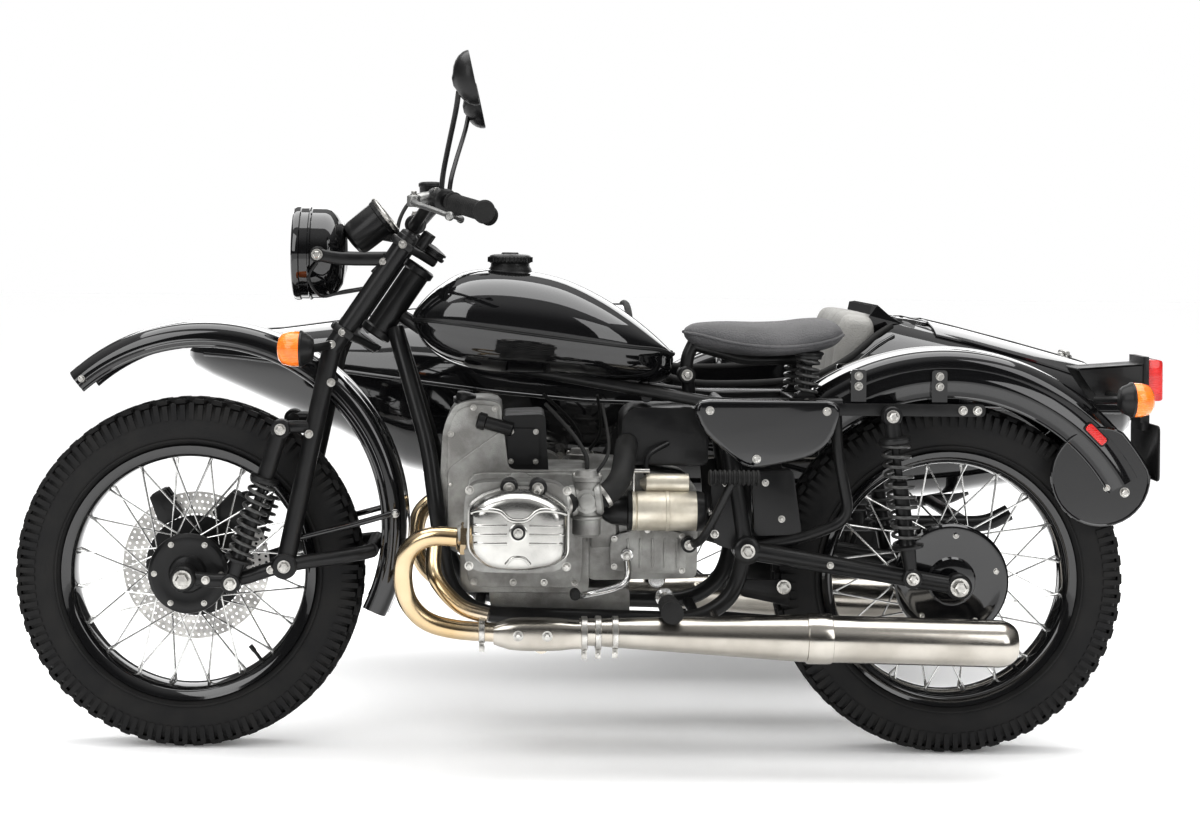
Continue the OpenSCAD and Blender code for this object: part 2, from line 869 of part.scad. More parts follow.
module front_fender() {
    color(paint) {
        turned(front_fender_c, 0, 48.5, 206)
            fender_section(front_fender_r, 77, 44);
        // Stays to the fork legs
        both_sides() {
            boss([1216, 732], 7, 70, 100);
            boss([1092, 470], 7, 70, 76);
            rod([1096, 74, 470], [1290, 92, 420], 6);
        }
    }
}

module headlight() {
    color(satin_black) {
        rod([1226, 0, 978], [1296, 0, 978], 93);
        rod([1226, 0, 978], [1190, 0, 978], 90, 62);
        both_sides() {
            boss([1246, 976], 11, 90, 112);
            rod([1246, 104, 976], steer_point([fork_ahead + 10, 104, -30]), 9);
        }
    }
}

bar_points = [
    [1062, 30, 1036], [1056, 92, 1038], [1014, 214, 1086], [984, 270, 1078], [925, 388, 1060]
];

module handlebar() {
    color(satin_black) {
        smooth_tube(concat(
            [for (i = [len(bar_points) - 1:-1:0]) side(bar_points[i])], bar_points
        ), 11, 4, 12);
        // Clamps on the risers
        both_sides() rod([1059, 32, 1037], [1058, 58, 1037], 19);
    }
}

module hand_controls() {
    color(rubber)
        both_sides() {
            rod([979, 281, 1077], [918, 402, 1058], 16.5);
            rod([919, 399, 1058.5], [915, 407, 1057], 21.5);
        }
    color(satin_black) {
        both_sides() {
            // Switch pod, lever pivot and lever
            rod([1012, 226, 1083], [986, 270, 1078], 24);
            rod([1022, 232, 1086], [1052, 250, 1080], 14);
            bent_tube([[1050, 250, 1078], [1046, 290, 1072], [975, 408, 1050]], 6);
        }
        // Master cylinder's reservoir on the right
        rod([1040, -248, 1088], [1040, -248, 1128], 25);
    }
}

module mirrors() {
    color(satin_black)
        both_sides() {
            bent_tube([[1002, 240, 1090], [996, 256, 1150], [964, 404, 1276]], 5);
            // Domed head, its glass facing the rider
            aim([974, 412, 1292], [-1, 0, 0.22])
                rotate_extrude()
                    polygon([[0, 0], [26, 4], [43, 15], [50, 28], [50, 36], [0, 36]]);
        }
}

module speedometer() {
    color(satin_black) {
        rod([1116, 0, 1057], [1186, 0, 1002], 37);
        rod([1150, 0, 1020], steer_point([62, 0, 8]), 12);
    }
}

module front_turn_signal() {
    // One, on the left: the signal on the right is the sidecar's
    color(amber)
        rod([1267, 176, 796], [1315, 176, 796], 35);
    color(satin_black) {
        rod([1244, 176, 796], [1268, 176, 796], 24, 35);
        rod([1256, 176, 796], [1213, fork_y + 8, 802], 8);
    }
}

module brake_hose() {
    color(rubber) smooth_tube(hose_route, hose_r);
}

place() {
    frame();
    engine_crankcase();
    cylinders();
    rocker_covers();
    gearbox();
    starter_motor();
    intake();
    exhaust_headers();
    mufflers();
    fuel_tank();
    rider_saddle();
    saddle_mount();
    side_covers();
    rear_swingarm();
    rear_shocks();
    final_drive();
    rear_fender();
    rear_lamps();
    plate_holder();
    foot_controls();
    sidecar_chassis();
    sidecar_body();
    sidecar_seat_cushion();
    sidecar_seat_back();
    sidecar_suspension();
    sidecar_fender();
    sidecar_lamps();
    sidecar_trunk_lid();
    fork();
    leading_link();
    front_shocks();
    front_fender();
    headlight();
    handlebar();
    hand_controls();
    mirrors();
    speedometer();
    front_turn_signal();
    brake_hose();
    front_wheel();
    front_tyre();
    rear_wheel();
    rear_tyre();
    sidecar_wheel();
    sidecar_tyre();
}
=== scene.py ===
import math

import bmesh
import bpy
from mathutils import Matrix, Vector


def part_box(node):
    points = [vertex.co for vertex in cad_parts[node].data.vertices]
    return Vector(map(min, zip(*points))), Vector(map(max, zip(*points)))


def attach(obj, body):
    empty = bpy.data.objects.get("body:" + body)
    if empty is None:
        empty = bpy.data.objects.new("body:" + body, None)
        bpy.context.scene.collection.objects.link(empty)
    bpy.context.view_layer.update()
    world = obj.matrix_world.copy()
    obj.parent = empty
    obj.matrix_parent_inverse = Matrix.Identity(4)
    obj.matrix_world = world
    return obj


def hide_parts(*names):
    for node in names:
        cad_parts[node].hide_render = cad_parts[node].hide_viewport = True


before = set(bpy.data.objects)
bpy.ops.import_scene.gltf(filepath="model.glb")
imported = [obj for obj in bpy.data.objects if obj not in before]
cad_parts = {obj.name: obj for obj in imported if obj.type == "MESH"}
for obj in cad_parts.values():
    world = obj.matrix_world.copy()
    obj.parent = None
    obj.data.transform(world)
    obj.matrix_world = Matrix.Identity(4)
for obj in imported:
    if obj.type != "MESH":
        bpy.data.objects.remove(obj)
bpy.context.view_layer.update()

scene = bpy.context.scene


# Camera: on a stand a little above the saddle, square to the machine's left side.
# Its lens is shifted, so that uprights stay upright while the machine sits low in the frame.
rear_hub = sum(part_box("rear_tyre"), Vector()) / 2


def at(x, y, z):
    """The place x ahead, y to the left and z above the floor under the rear axle, in mm."""
    return Vector((rear_hub.x + x / 1000, rear_hub.y + y / 1000, z / 1000))


lens = bpy.data.cameras.new("camera")
lens.lens = 63.2
lens.shift_x = 0.073
lens.shift_y = -0.148
lens.clip_end = 60
camera = bpy.data.objects.new("camera", lens)
camera.location = at(867, 4200, 1017)
camera.rotation_euler = (math.radians(90), math.radians(-0.48), math.radians(180))
scene.collection.objects.link(camera)
scene.camera = camera


# Studio: a seamless pale floor and a pale surround, which reflections see dimmer than
# the camera does, so that black enamel stays black between the soft boxes' highlights.
def new_node(tree, kind, values=(), **settings):
    """A new node of a tree, with its settings and the values of its inputs."""
    made = tree.nodes.new(kind)
    for key, value in settings.items():
        setattr(made, key, value)
    for key, value in dict(values).items():
        made.inputs[key].default_value = value
    return made


def connect(tree, *wires):
    """Connects nodes: each wire is a node, its output, the next node and its input."""
    for start, way_out, end, way_in in wires:
        tree.links.new(start.outputs[way_out], end.inputs[way_in])


world = bpy.data.worlds.new("studio")
scene.world = world
world.use_nodes = True
tree = world.node_tree
tree.nodes.clear()
seen = new_node(tree, "ShaderNodeBackground", {"Color": (1, 1, 1, 1), "Strength": 1.0})
mirrored = new_node(tree, "ShaderNodeBackground")
direction = new_node(tree, "ShaderNodeTexCoord")
height = new_node(tree, "ShaderNodeSeparateXYZ")
ceiling = new_node(tree, "ShaderNodeMapRange", {"From Min": 0.25, "From Max": 0.85, "To Min": 0.10,
                "To Max": 0.75}, interpolation_type="SMOOTHSTEP")
connect(tree, (direction, "Generated", height, "Vector"), (height, "Z", ceiling, "Value"),
     (ceiling, "Result", mirrored, "Strength"))
rays = new_node(tree, "ShaderNodeLightPath")
choice = new_node(tree, "ShaderNodeMixShader")
output = new_node(tree, "ShaderNodeOutputWorld")
connect(tree, (rays, "Is Glossy Ray", choice, "Fac"), (seen, "Background", choice, 1),
     (mirrored, "Background", choice, 2), (choice, "Shader", output, "Surface"))
scene.view_settings.view_transform = "Standard"
scene.view_settings.gamma = 0.86


def soft_box(name, place, aim, wide, tall, watts, mirrored=True):
    """A square studio light that faces a point; gloss may be kept from mirroring it."""
    light = bpy.data.lights.new(name, "AREA")
    light.shape = "RECTANGLE"
    light.size = wide
    light.size_y = tall
    light.energy = watts
    lamp = bpy.data.objects.new(name, light)
    lamp.location = place
    lamp.rotation_euler = (Vector(aim) - place).to_track_quat("-Z", "Y").to_euler()
    lamp.visible_glossy = mirrored
    scene.collection.objects.link(lamp)


middle = at(660, -300, 500)
soft_box("overhead", at(660, -200, 3300), middle, 4.6, 2.6, 110)
soft_box("front_left", at(2700, 2700, 2300), middle, 1.6, 2.4, 36)
soft_box("rear_left", at(-1500, 2600, 1900), middle, 1.2, 2.2, 22)
soft_box("far_side", at(500, -3400, 2000), middle, 4.5, 1.6, 40)
soft_box("low_fill", at(700, 3600, 420), middle, 4.5, 0.5, 10, mirrored=False)

floor = bpy.data.meshes.new("floor")
floor.from_pydata([(-30, -30, 0), (30, -30, 0), (30, 30, 0), (-30, 30, 0)], [], [(0, 1, 2, 3)])
ground = bpy.data.objects.new("floor", floor)
scene.collection.objects.link(ground)
pale = bpy.data.materials.new("pale_floor")
pale.use_nodes = True
pale_shader = pale.node_tree.nodes["Principled BSDF"]
pale_shader.inputs["Base Color"].default_value = (0.95, 0.95, 0.95, 1)
pale_shader.inputs["Roughness"].default_value = 0.8
pale_shader.inputs["Emission Color"].default_value = (1, 1, 1, 1)
pale_shader.inputs["Emission Strength"].default_value = 0.1
floor.materials.append(pale)


# Tyres: three like cross-ply block tyres on spoked rims. Black rubber, a smooth sidewall
# with a bead line, two staggered rows of tread blocks and a row of lugs on each shoulder.
def socket(group, name, way, kind, value=None):
    """Adds an input or an output to a node group."""
    made = group.interface.new_socket(name=name, in_out=way, socket_type=kind)
    if value is not None:
        made.default_value = value
    return made


def link(tree, start, end):
    tree.links.new(start, end)


def noise_group(name, scale, detail, roughness):
    """A shader group that puts out soft random values from 0 to 1 over the surface."""
    group = bpy.data.node_groups.new(name, "ShaderNodeTree")
    socket(group, "Scale", "INPUT", "NodeSocketFloat", scale)
    socket(group, "Low", "INPUT", "NodeSocketFloat", 0.35)
    socket(group, "High", "INPUT", "NodeSocketFloat", 0.65)
    socket(group, "Value", "OUTPUT", "NodeSocketFloat")
    start = new_node(group, "NodeGroupInput")
    end = new_node(group, "NodeGroupOutput")
    place = new_node(group, "ShaderNodeTexCoord")
    cloud = new_node(group, "ShaderNodeTexNoise", {"Detail": detail, "Roughness": roughness})
    spread = new_node(group, "ShaderNodeMapRange")
    connect(group, (place, "Object", cloud, "Vector"), (start, "Scale", cloud, "Scale"),
         (cloud, "Fac", spread, "Value"), (start, "Low", spread, "From Min"),
         (start, "High", spread, "From Max"), (spread, "Result", end, "Value"))
    return group


def dust_group():
    """A mask of the dust that settles on what faces up, in patches."""
    group = bpy.data.node_groups.new("settled_dust", "ShaderNodeTree")
    socket(group, "Amount", "INPUT", "NodeSocketFloat", 0.3)
    socket(group, "Mask", "OUTPUT", "NodeSocketFloat")
    start = new_node(group, "NodeGroupInput")
    end = new_node(group, "NodeGroupOutput")
    surface = new_node(group, "ShaderNodeNewGeometry")
    split = new_node(group, "ShaderNodeSeparateXYZ")
    place = new_node(group, "ShaderNodeTexCoord")
    cloud = new_node(group, "ShaderNodeTexNoise", {"Scale": 14, "Detail": 6})
    facing = new_node(group, "ShaderNodeMapRange", {"From Min": 0.3})
    patches = new_node(group, "ShaderNodeMath", operation="MULTIPLY")
    total = new_node(group, "ShaderNodeMath", operation="MULTIPLY", use_clamp=True)
    connect(group, (surface, "Normal", split, "Vector"), (split, "Z", facing, "Value"),
         (place, "Object", cloud, "Vector"), (facing, "Result", patches, 0),
         (cloud, "Fac", patches, 1), (patches, "Value", total, 0), (start, "Amount", total, 1),
         (total, "Value", end, "Mask"))
    return group


clouding = noise_group("clouding", 9, 4, 0.55)
fine_grain = noise_group("fine_grain", 900, 2, 0.5)
settled_dust = dust_group()


def finish(name, colour, roughness, metallic=0.0, second=None, cloud=7, grain=900,
           bump=0.1, depth=0.0004, spread=0.08, dust=0.0, **fixed):
    """A material whose colour and roughness drift over the surface, with a fine grain."""
    material = bpy.data.materials.new(name)
    material.use_nodes = True
    tree = material.node_tree
    shader = tree.nodes["Principled BSDF"]
    shader.inputs["Metallic"].default_value = metallic
    for key, value in fixed.items():
        shader.inputs[key.replace("_", " ")].default_value = value
    drift = new_node(tree, "ShaderNodeGroup", {"Scale": cloud}, node_tree=clouding)
    blend = new_node(tree, "ShaderNodeMix", {"A": (*colour, 1),
                  "B": (*(second or [c * 0.72 for c in colour]), 1)}, data_type="RGBA")
    connect(tree, (drift, "Value", blend, "Factor"))
    rough = new_node(tree, "ShaderNodeMapRange", {"To Min": roughness,
                  "To Max": min(roughness + spread, 1)})
    connect(tree, (drift, "Value", rough, "Value"))
    grains = new_node(tree, "ShaderNodeGroup", {"Scale": grain}, node_tree=fine_grain)
    relief = new_node(tree, "ShaderNodeBump", {"Strength": bump, "Distance": depth})
    connect(tree, (grains, "Value", relief, "Height"), (relief, "Normal", shader, "Normal"))
    colour_out = blend.outputs["Result"]
    rough_out = rough.outputs["Result"]
    if dust:
        lying = new_node(tree, "ShaderNodeGroup", {"Amount": dust}, node_tree=settled_dust)
        dusty = new_node(tree, "ShaderNodeMix", {"B": (0.3, 0.28, 0.25, 1)}, data_type="RGBA")
        connect(tree, (lying, "Mask", dusty, "Factor"))
        link(tree, colour_out, dusty.inputs["A"])
        colour_out = dusty.outputs["Result"]
    link(tree, colour_out, shader.inputs["Base Color"])
    link(tree, rough_out, shader.inputs["Roughness"])
    return material


class Skin:
    """The faces of one piece, collected in mm from the floor under the rear axle."""

    def __init__(self):
        self.points = []
        self.faces = []
        self.marks = []
        self.mark = 0

    def face(self, corners):
        self.faces.append(tuple(corners))
        self.marks.append(self.mark)

    def rings(self, rings, loop=False, caps=True, open_rings=False):
        """Joins rings of equal length by quads; loop joins the last ring to the first."""
        count = len(rings[0])
        base = len(self.points)
        for ring in rings:
            self.points.extend(Vector(p) for p in ring)
        for i in range(len(rings) if loop else len(rings) - 1):
            j = (i + 1) % len(rings)
            for k in range(count - 1 if open_rings else count):
                n = (k + 1) % count
                self.face((base + i * count + k, base + i * count + n,
                           base + j * count + n, base + j * count + k))
        if caps and not loop and not open_rings:
            self.face(range(base + count - 1, base - 1, -1))
            last = base + (len(rings) - 1) * count
            self.face(range(last, last + count))

    def lathe(self, start, way, profile, sides=32, whole=False):
        """Turns a profile of (along, radius) pairs about the line from start along way.

        A whole profile is a closed outline, as a ring's section is.
        """
        start = Vector(start)
        along = Vector(way).normalized()
        out = along.orthogonal().normalized()
        up = along.cross(out)
        rings = []
        for step, radius in profile:
            rings.append([
                start + along * step + radius * (
                    math.cos(math.tau * k / sides) * out + math.sin(math.tau * k / sides) * up)
                for k in range(sides)])
        self.rings(rings, loop=whole, caps=not whole)

    def tube(self, route, radius, sides=12, smooth=0, flat=1.0):
        """A round bar along a route; smooth is the steps between two points of a curve."""
        points = [Vector(p) for p in route]
        if smooth:
            points = curve_through(points, smooth)
        sizes = radius if isinstance(radius, (list, tuple)) else [radius] * len(points)
        if len(sizes) != len(points):
            sizes = [sizes[0] + (sizes[-1] - sizes[0]) * i / (len(points) - 1)
                     for i in range(len(points))]
        rings = []
        out = None
        for i, p in enumerate(points):
            before = (p - points[i - 1]).normalized() if i else None
            after = (points[i + 1] - p).normalized() if i < len(points) - 1 else None
            way = ((before or after) + (after or before)).normalized()
            if out is None:
                out = way.cross(Vector((0, 1, 0)))
                out = out if out.length > 0.1 else way.cross(Vector((1, 0, 0)))
            out = (out - way * out.dot(way)).normalized()
            up = way.cross(out)
            stretch = 1 / max(0.5, way.dot(after or before))
            rings.append([
                p + sizes[i] * (math.cos(math.tau * k / sides) * out * stretch
                                + flat * math.sin(math.tau * k / sides) * up)
                for k in range(sides)])
        self.rings(rings)

    def box(self, low, high, turn=None, about=None):
        """A block between two corners, turned by a matrix about a point."""
        corners = [Vector((x, y, z)) for z in (low[2], high[2])
                   for x, y in ((low[0], low[1]), (high[0], low[1]),
                                (high[0], high[1]), (low[0], high[1]))]
        if turn is not None:
            about = Vector(about or [(a + b) / 2 for a, b in zip(low, high)])
            corners = [about + turn @ (c - about) for c in corners]
        self.rings([corners[:4], corners[4:]])

    def plate(self, outline, y0, y1):
        """A flat plate along y, with its outline given as (x, z) pairs."""
        self.rings([[Vector((x, y, z)) for x, z in outline] for y in (y0, y1)])

    def mesh(self, name, materials, bevel=0.0, corner=35, sharp=38, weld=0.00002, segments=2):
        """The piece's mesh, in metres, with its edges rounded and its faces outwards."""
        work = bmesh.new()
        verts = [work.verts.new(at(*p)) for p in self.points]
        for corners, mark in zip(self.faces, self.marks):
            if len(set(corners)) > 2:
                face = work.faces.new([verts[i] for i in corners])
                face.material_index = mark
        bmesh.ops.remove_doubles(work, verts=work.verts, dist=weld)
        bmesh.ops.recalc_face_normals(work, faces=work.faces)
        if bevel:
            limit = math.radians(corner)
            edges = [e for e in work.edges
                     if len(e.link_faces) == 2 and e.calc_face_angle(0) > limit]
            bmesh.ops.bevel(work, geom=edges, offset=bevel / 1000, segments=segments,
                            profile=0.6, affect="EDGES", clamp_overlap=True)
        made = bpy.data.meshes.new(name)
        work.to_mesh(made)
        work.free()
        made.shade_smooth()
        made.set_sharp_from_angle(angle=math.radians(sharp))
        for material in materials:
            made.materials.append(material)
        return made


def both_sides(draw, *skins):
    """Draws on the left, then gives each skin the mirror image of what it gained."""
    before = [(len(skin.points), len(skin.faces)) for skin in skins]
    draw()
    for skin, (points, faces) in zip(skins, before):
        shift = len(skin.points) - points
        skin.points += [Vector((p.x, -p.y, p.z)) for p in skin.points[points:]]
        skin.marks += skin.marks[faces:]
        skin.faces += [tuple(i + shift for i in reversed(f)) for f in skin.faces[faces:]]


def curve_through(points, steps):
    """Points on a smooth curve that passes through all of the given ones."""
    found = []
    last = len(points) - 1
    for i in range(last):
        a, b = points[max(i - 1, 0)], points[i]
        c, d = points[i + 1], points[min(i + 2, last)]
        for k in range(steps):
            t = k / steps
            found.append(0.5 * (2 * b + (c - a) * t + (2 * a - 5 * b + 4 * c - d) * t * t
                                + (3 * b - a - 3 * c + d) * t ** 3))
    return found + [points[last]]


def piece(name, mesh, body, stands_for=()):
    """Adds a finished mesh to the scene, riding on its body."""
    thing = bpy.data.objects.new(name, mesh)
    scene.collection.objects.link(thing)
    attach(thing, body)
    if stands_for:
        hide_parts(*stands_for)
    return thing


def repeat_tree():
    """Geometry nodes that copy a mesh Count times, each turned and shifted from the last."""
    tree = bpy.data.node_groups.new("repeat", "GeometryNodeTree")
    for name, kind in (("Mesh", "Geometry"), ("Count", "Int"), ("Centre", "Vector"),
                       ("Axis", "Vector"), ("Turn", "Float"), ("Shift", "Vector"),
                       ("Material", "Material")):
        socket(tree, name, "INPUT", "NodeSocket" + kind)
    socket(tree, "Mesh", "OUTPUT", "NodeSocketGeometry")
    start = new_node(tree, "NodeGroupInput")
    end = new_node(tree, "NodeGroupOutput")
    index = new_node(tree, "GeometryNodeInputIndex")
    away = new_node(tree, "ShaderNodeVectorMath", operation="SCALE")
    place = new_node(tree, "ShaderNodeVectorMath", operation="ADD")
    dots = new_node(tree, "GeometryNodePoints")
    back = new_node(tree, "ShaderNodeVectorMath", {"Scale": -1}, operation="SCALE")
    centred = new_node(tree, "GeometryNodeTransform")
    angle = new_node(tree, "ShaderNodeMath", operation="MULTIPLY")
    turn = new_node(tree, "FunctionNodeAxisAngleToRotation")
    copies = new_node(tree, "GeometryNodeInstanceOnPoints")
    real = new_node(tree, "GeometryNodeRealizeInstances")
    paint = new_node(tree, "GeometryNodeSetMaterial")
    connect(tree, (start, "Shift", away, 0), (index, "Index", away, "Scale"),
         (start, "Centre", place, 0), (away, "Vector", place, 1),
         (start, "Count", dots, "Count"), (place, "Vector", dots, "Position"),
         (start, "Centre", back, 0), (start, "Mesh", centred, "Geometry"),
         (back, "Vector", centred, "Translation"), (index, "Index", angle, 0),
         (start, "Turn", angle, 1), (start, "Axis", turn, "Axis"),
         (angle, "Value", turn, "Angle"), (dots, "Points", copies, "Points"),
         (centred, "Geometry", copies, "Instance"), (turn, "Rotation", copies, "Rotation"),
         (copies, "Instances", real, "Geometry"), (real, "Geometry", paint, "Geometry"),
         (start, "Material", paint, "Material"), (paint, "Geometry", end, "Mesh"))
    return tree


repeating = repeat_tree()


def grown(mesh, tree, **values):
    """The plain mesh that a geometry nodes tree makes from a mesh."""
    holder = bpy.data.objects.new("holder", mesh)
    scene.collection.objects.link(holder)
    modifier = holder.modifiers.new("nodes", "NODES")
    modifier.node_group = tree
    for item in tree.interface.items_tree:
        if item.in_out == "INPUT" and item.name in values:
            modifier[item.identifier] = values[item.name]
    bpy.context.view_layer.update()
    ready = holder.evaluated_get(bpy.context.evaluated_depsgraph_get())
    made = bpy.data.meshes.new_from_object(ready)
    holder.modifiers.remove(modifier)
    bpy.data.objects.remove(holder)
    return made


def repeated(mesh, count, material, centre=(0, 0, 0), axis=(0, 1, 0), turn=0.0, shift=(0, 0, 0)):
    """Copies of a mesh in a row or a ring, as one plain mesh."""
    return grown(mesh, repeating, Count=count, Centre=tuple(at(*centre)), Axis=tuple(axis),
                 Turn=turn, Shift=tuple(s / 1000 for s in shift), Material=material)


def joined(name, *meshes):
    """Several meshes as one, which keeps each one's material."""
    work = bmesh.new()
    materials = []
    for mesh in meshes:
        first = len(work.faces)
        work.from_mesh(mesh)
        work.faces.ensure_lookup_table()
        places = []
        for material in mesh.materials:
            if material not in materials:
                materials.append(material)
            places.append(materials.index(material))
        for face in work.faces[first:]:
            face.material_index = places[min(face.material_index, len(places) - 1)]
    made = bpy.data.meshes.new(name)
    work.to_mesh(made)
    work.free()
    for material in materials:
        made.materials.append(material)
    return made


def power(value, exponent):
    return math.copysign(abs(value) ** exponent, value)


tyre_rubber = finish("tyre_rubber", (0.011, 0.011, 0.0115), 0.6, second=(0.02, 0.0195, 0.019),
                     cloud=16, grain=500, bump=0.25, spread=0.2, dust=0.05,
                     Specular_IOR_Level=0.25)
tyre_r = 345
tread_depth = 8
axles = {"front": (1500, 0, 345), "rear": (0, 0, 345), "sidecar": (246, -1140, 345)}


def lug(skin, hub, angle, low, high, y, length, width, skew=0.0):
    """One tread block: length is round the tyre and width across it, in mm."""
    rings = []
    for radius, shrink in ((low, 1.0), (high - 1.6, 0.9), (high, 0.74)):
        ring = []
        for u, v in ((-1, -1), (1, -1), (1, 1), (-1, 1)):
            across = y + v * width / 2 * shrink
            a = angle + (u * length / 2 * shrink + skew * v * width / 2) / tyre_r
            ring.append((hub[0] + radius * math.cos(a), hub[1] + across,
                         hub[2] + radius * math.sin(a)))
        rings.append(ring)
    skin.rings(rings)


for wheel, hub in axles.items():
    carcass = Skin()
    section = []
    for k in range(44):
        a = math.tau * k / 44
        reach = tyre_r - tread_depth - 297 if math.cos(a) > 0 else 56
        section.append((49 * power(math.sin(a), 0.72),
                        297 + reach * power(math.cos(a), 0.6)))
    carcass.lathe(hub, (0, 1, 0), section, 96, whole=True)
    for side in (-1, 1):
        # The line moulded round the sidewall above the rim
        carcass.lathe(hub, (0, 1, 0), [(side * (47.5 + 2.2 * math.sin(b)), 262 + 2.4 * math.cos(b))
                                       for b in [math.tau * k / 8 for k in range(8)]], 96,
                      whole=True)
    pitches = 58
    step = math.tau / pitches
    tread = Skin()
    floor_r = tyre_r - tread_depth - 1
    for side in (-1, 1):
        shift = 0 if side < 0 else step / 2
        lug(tread, hub, shift, floor_r, tyre_r, side * 11, 25, 17, side * 0.25)
        lug(tread, hub, shift + step / 2, floor_r - 2, tyre_r - 2.5, side * 31, 23, 18, side * -0.3)
        for half in (0, 1):
            lug(tread, hub, shift + step * (half / 2 + 0.1), 303, tyre_r - 9 - 4 * half,
                side * 45.5, 11.5, 11)
    ring = repeated(tread.mesh("tread", [tyre_rubber]), pitches, tyre_rubber, hub, turn=step)
    piece(f"{wheel}_tyre_block_tread",
          joined(f"{wheel}_tyre", carcass.mesh("carcass", [tyre_rubber]), ring),
          f"{wheel}_wheel", [f"{wheel}_tyre"])


# Wheels: steel rims in black enamel, laced with forty crossed spokes to a cast hub.
# The front one carries a drilled brake disc, the other two a brake drum on the left.
enamel = finish("black_enamel", (0.0035, 0.0035, 0.004), 0.05, second=(0.005, 0.005, 0.0055),
                cloud=5, grain=70, bump=0.012, spread=0.05, dust=0.015,
                Coat_Weight=1.0, Coat_Roughness=0.03)
satin = finish("satin_black", (0.006, 0.006, 0.0065), 0.3, second=(0.010, 0.010, 0.010),
               cloud=22, grain=600, bump=0.08, spread=0.14, dust=0.03,
               Specular_IOR_Level=0.35, Coat_Weight=0.12)
bright = finish("bright_zinc", (0.66, 0.65, 0.62), 0.24, 1.0, second=(0.42, 0.41, 0.39),
                cloud=60, grain=700, bump=0.05, spread=0.14)
spoke_steel = finish("spoke_steel", (0.74, 0.74, 0.73), 0.2, 1.0, second=(0.55, 0.55, 0.54),
                     cloud=30, grain=500, bump=0.03)
disc_steel = finish("disc_steel", (0.60, 0.59, 0.57), 0.3, 1.0, second=(0.42, 0.41, 0.40),
                    cloud=26, grain=260, bump=0.12, spread=0.16)
rim_r = 228


def fastener_tree():
    """Geometry nodes that set a hexagon head on a washer at each point, along its aim."""
    tree = bpy.data.node_groups.new("fasteners", "GeometryNodeTree")
    socket(tree, "Points", "INPUT", "NodeSocketGeometry")
    socket(tree, "Sides", "INPUT", "NodeSocketInt", 6)
    socket(tree, "Height", "INPUT", "NodeSocketFloat", 1.0)
    socket(tree, "Material", "INPUT", "NodeSocketMaterial")
    socket(tree, "Mesh", "OUTPUT", "NodeSocketGeometry")
    start = new_node(tree, "NodeGroupInput")
    end = new_node(tree, "NodeGroupOutput")
    head, washer = (tree.nodes.new("GeometryNodeMeshCylinder") for _ in range(2))
    crown = new_node(tree, "GeometryNodeMeshCone", {"Radius Bottom": 0.94, "Radius Top": 0.68,
                  "Depth": 0.16})
    washer.inputs["Vertices"].default_value = 18
    washer.inputs["Radius"].default_value = 1.4
    washer.inputs["Depth"].default_value = 0.5
    head.inputs["Radius"].default_value = 1.0
    lift_head = new_node(tree, "GeometryNodeTransform")
    lift_crown = new_node(tree, "GeometryNodeTransform")
    above = new_node(tree, "ShaderNodeCombineXYZ")
    top = new_node(tree, "ShaderNodeCombineXYZ")
    half = new_node(tree, "ShaderNodeMath", {1: 0.5, 2: 0.2}, operation="MULTIPLY_ADD")
    full = new_node(tree, "ShaderNodeMath", {1: 0.2}, operation="ADD")
    parts = new_node(tree, "GeometryNodeJoinGeometry")
    aim, size = (tree.nodes.new("GeometryNodeInputNamedAttribute") for _ in range(2))
    aim.data_type = "FLOAT_VECTOR"
    aim.inputs["Name"].default_value = "aim"
    size.inputs["Name"].default_value = "size"
    turn = new_node(tree, "FunctionNodeAlignRotationToVector", axis="Z")
    copies = new_node(tree, "GeometryNodeInstanceOnPoints")
    real = new_node(tree, "GeometryNodeRealizeInstances")
    paint = new_node(tree, "GeometryNodeSetMaterial")
    connect(tree, (start, "Sides", head, "Vertices"), (start, "Sides", crown, "Vertices"),
         (start, "Height", head, "Depth"), (start, "Height", half, 0),
         (start, "Height", full, 0), (half, "Value", above, "Z"), (full, "Value", top, "Z"),
         (head, "Mesh", lift_head, "Geometry"), (above, "Vector", lift_head, "Translation"),
         (crown, "Mesh", lift_crown, "Geometry"), (top, "Vector", lift_crown, "Translation"))
    for made in (washer.outputs["Mesh"], lift_head.outputs["Geometry"],
                 lift_crown.outputs["Geometry"]):
        link(tree, made, parts.inputs["Geometry"])
    connect(tree, (start, "Points", copies, "Points"), (parts, "Geometry", copies, "Instance"),
         (aim, "Attribute", turn, "Vector"), (turn, "Rotation", copies, "Rotation"),
         (size, "Attribute", copies, "Scale"), (copies, "Instances", real, "Geometry"),
         (real, "Geometry", paint, "Geometry"), (start, "Material", paint, "Material"),
         (paint, "Geometry", end, "Mesh"))
    return tree


fastening = fastener_tree()


def bolts(places, material=None, sides=6, height=1.0):
    """Bolt heads at (point, aim, radius in mm), as one plain mesh."""
    mesh = bpy.data.meshes.new("bolt_places")
    mesh.from_pydata([at(*p) for p, _, _ in places], [], [])
    aims = mesh.attributes.new("aim", "FLOAT_VECTOR", "POINT").data
    for i, (_, aim, _) in enumerate(places):
        aims[i].vector = Vector(aim).normalized()
    sizes = mesh.attributes.new("size", "FLOAT", "POINT").data
    sizes.foreach_set("value", [size / 1000 for _, _, size in places])
    return grown(mesh, fastening, Sides=sides, Height=height, Material=material or bright)


def round_places(centre, radius, count, y, size, aim=(0, 1, 0), first=0.0):
    """Places for a ring of bolts about an axle."""
    return [((centre[0] + radius * math.cos(first + math.tau * k / count), y,
              centre[2] + radius * math.sin(first + math.tau * k / count)), aim, size)
            for k in range(count)]


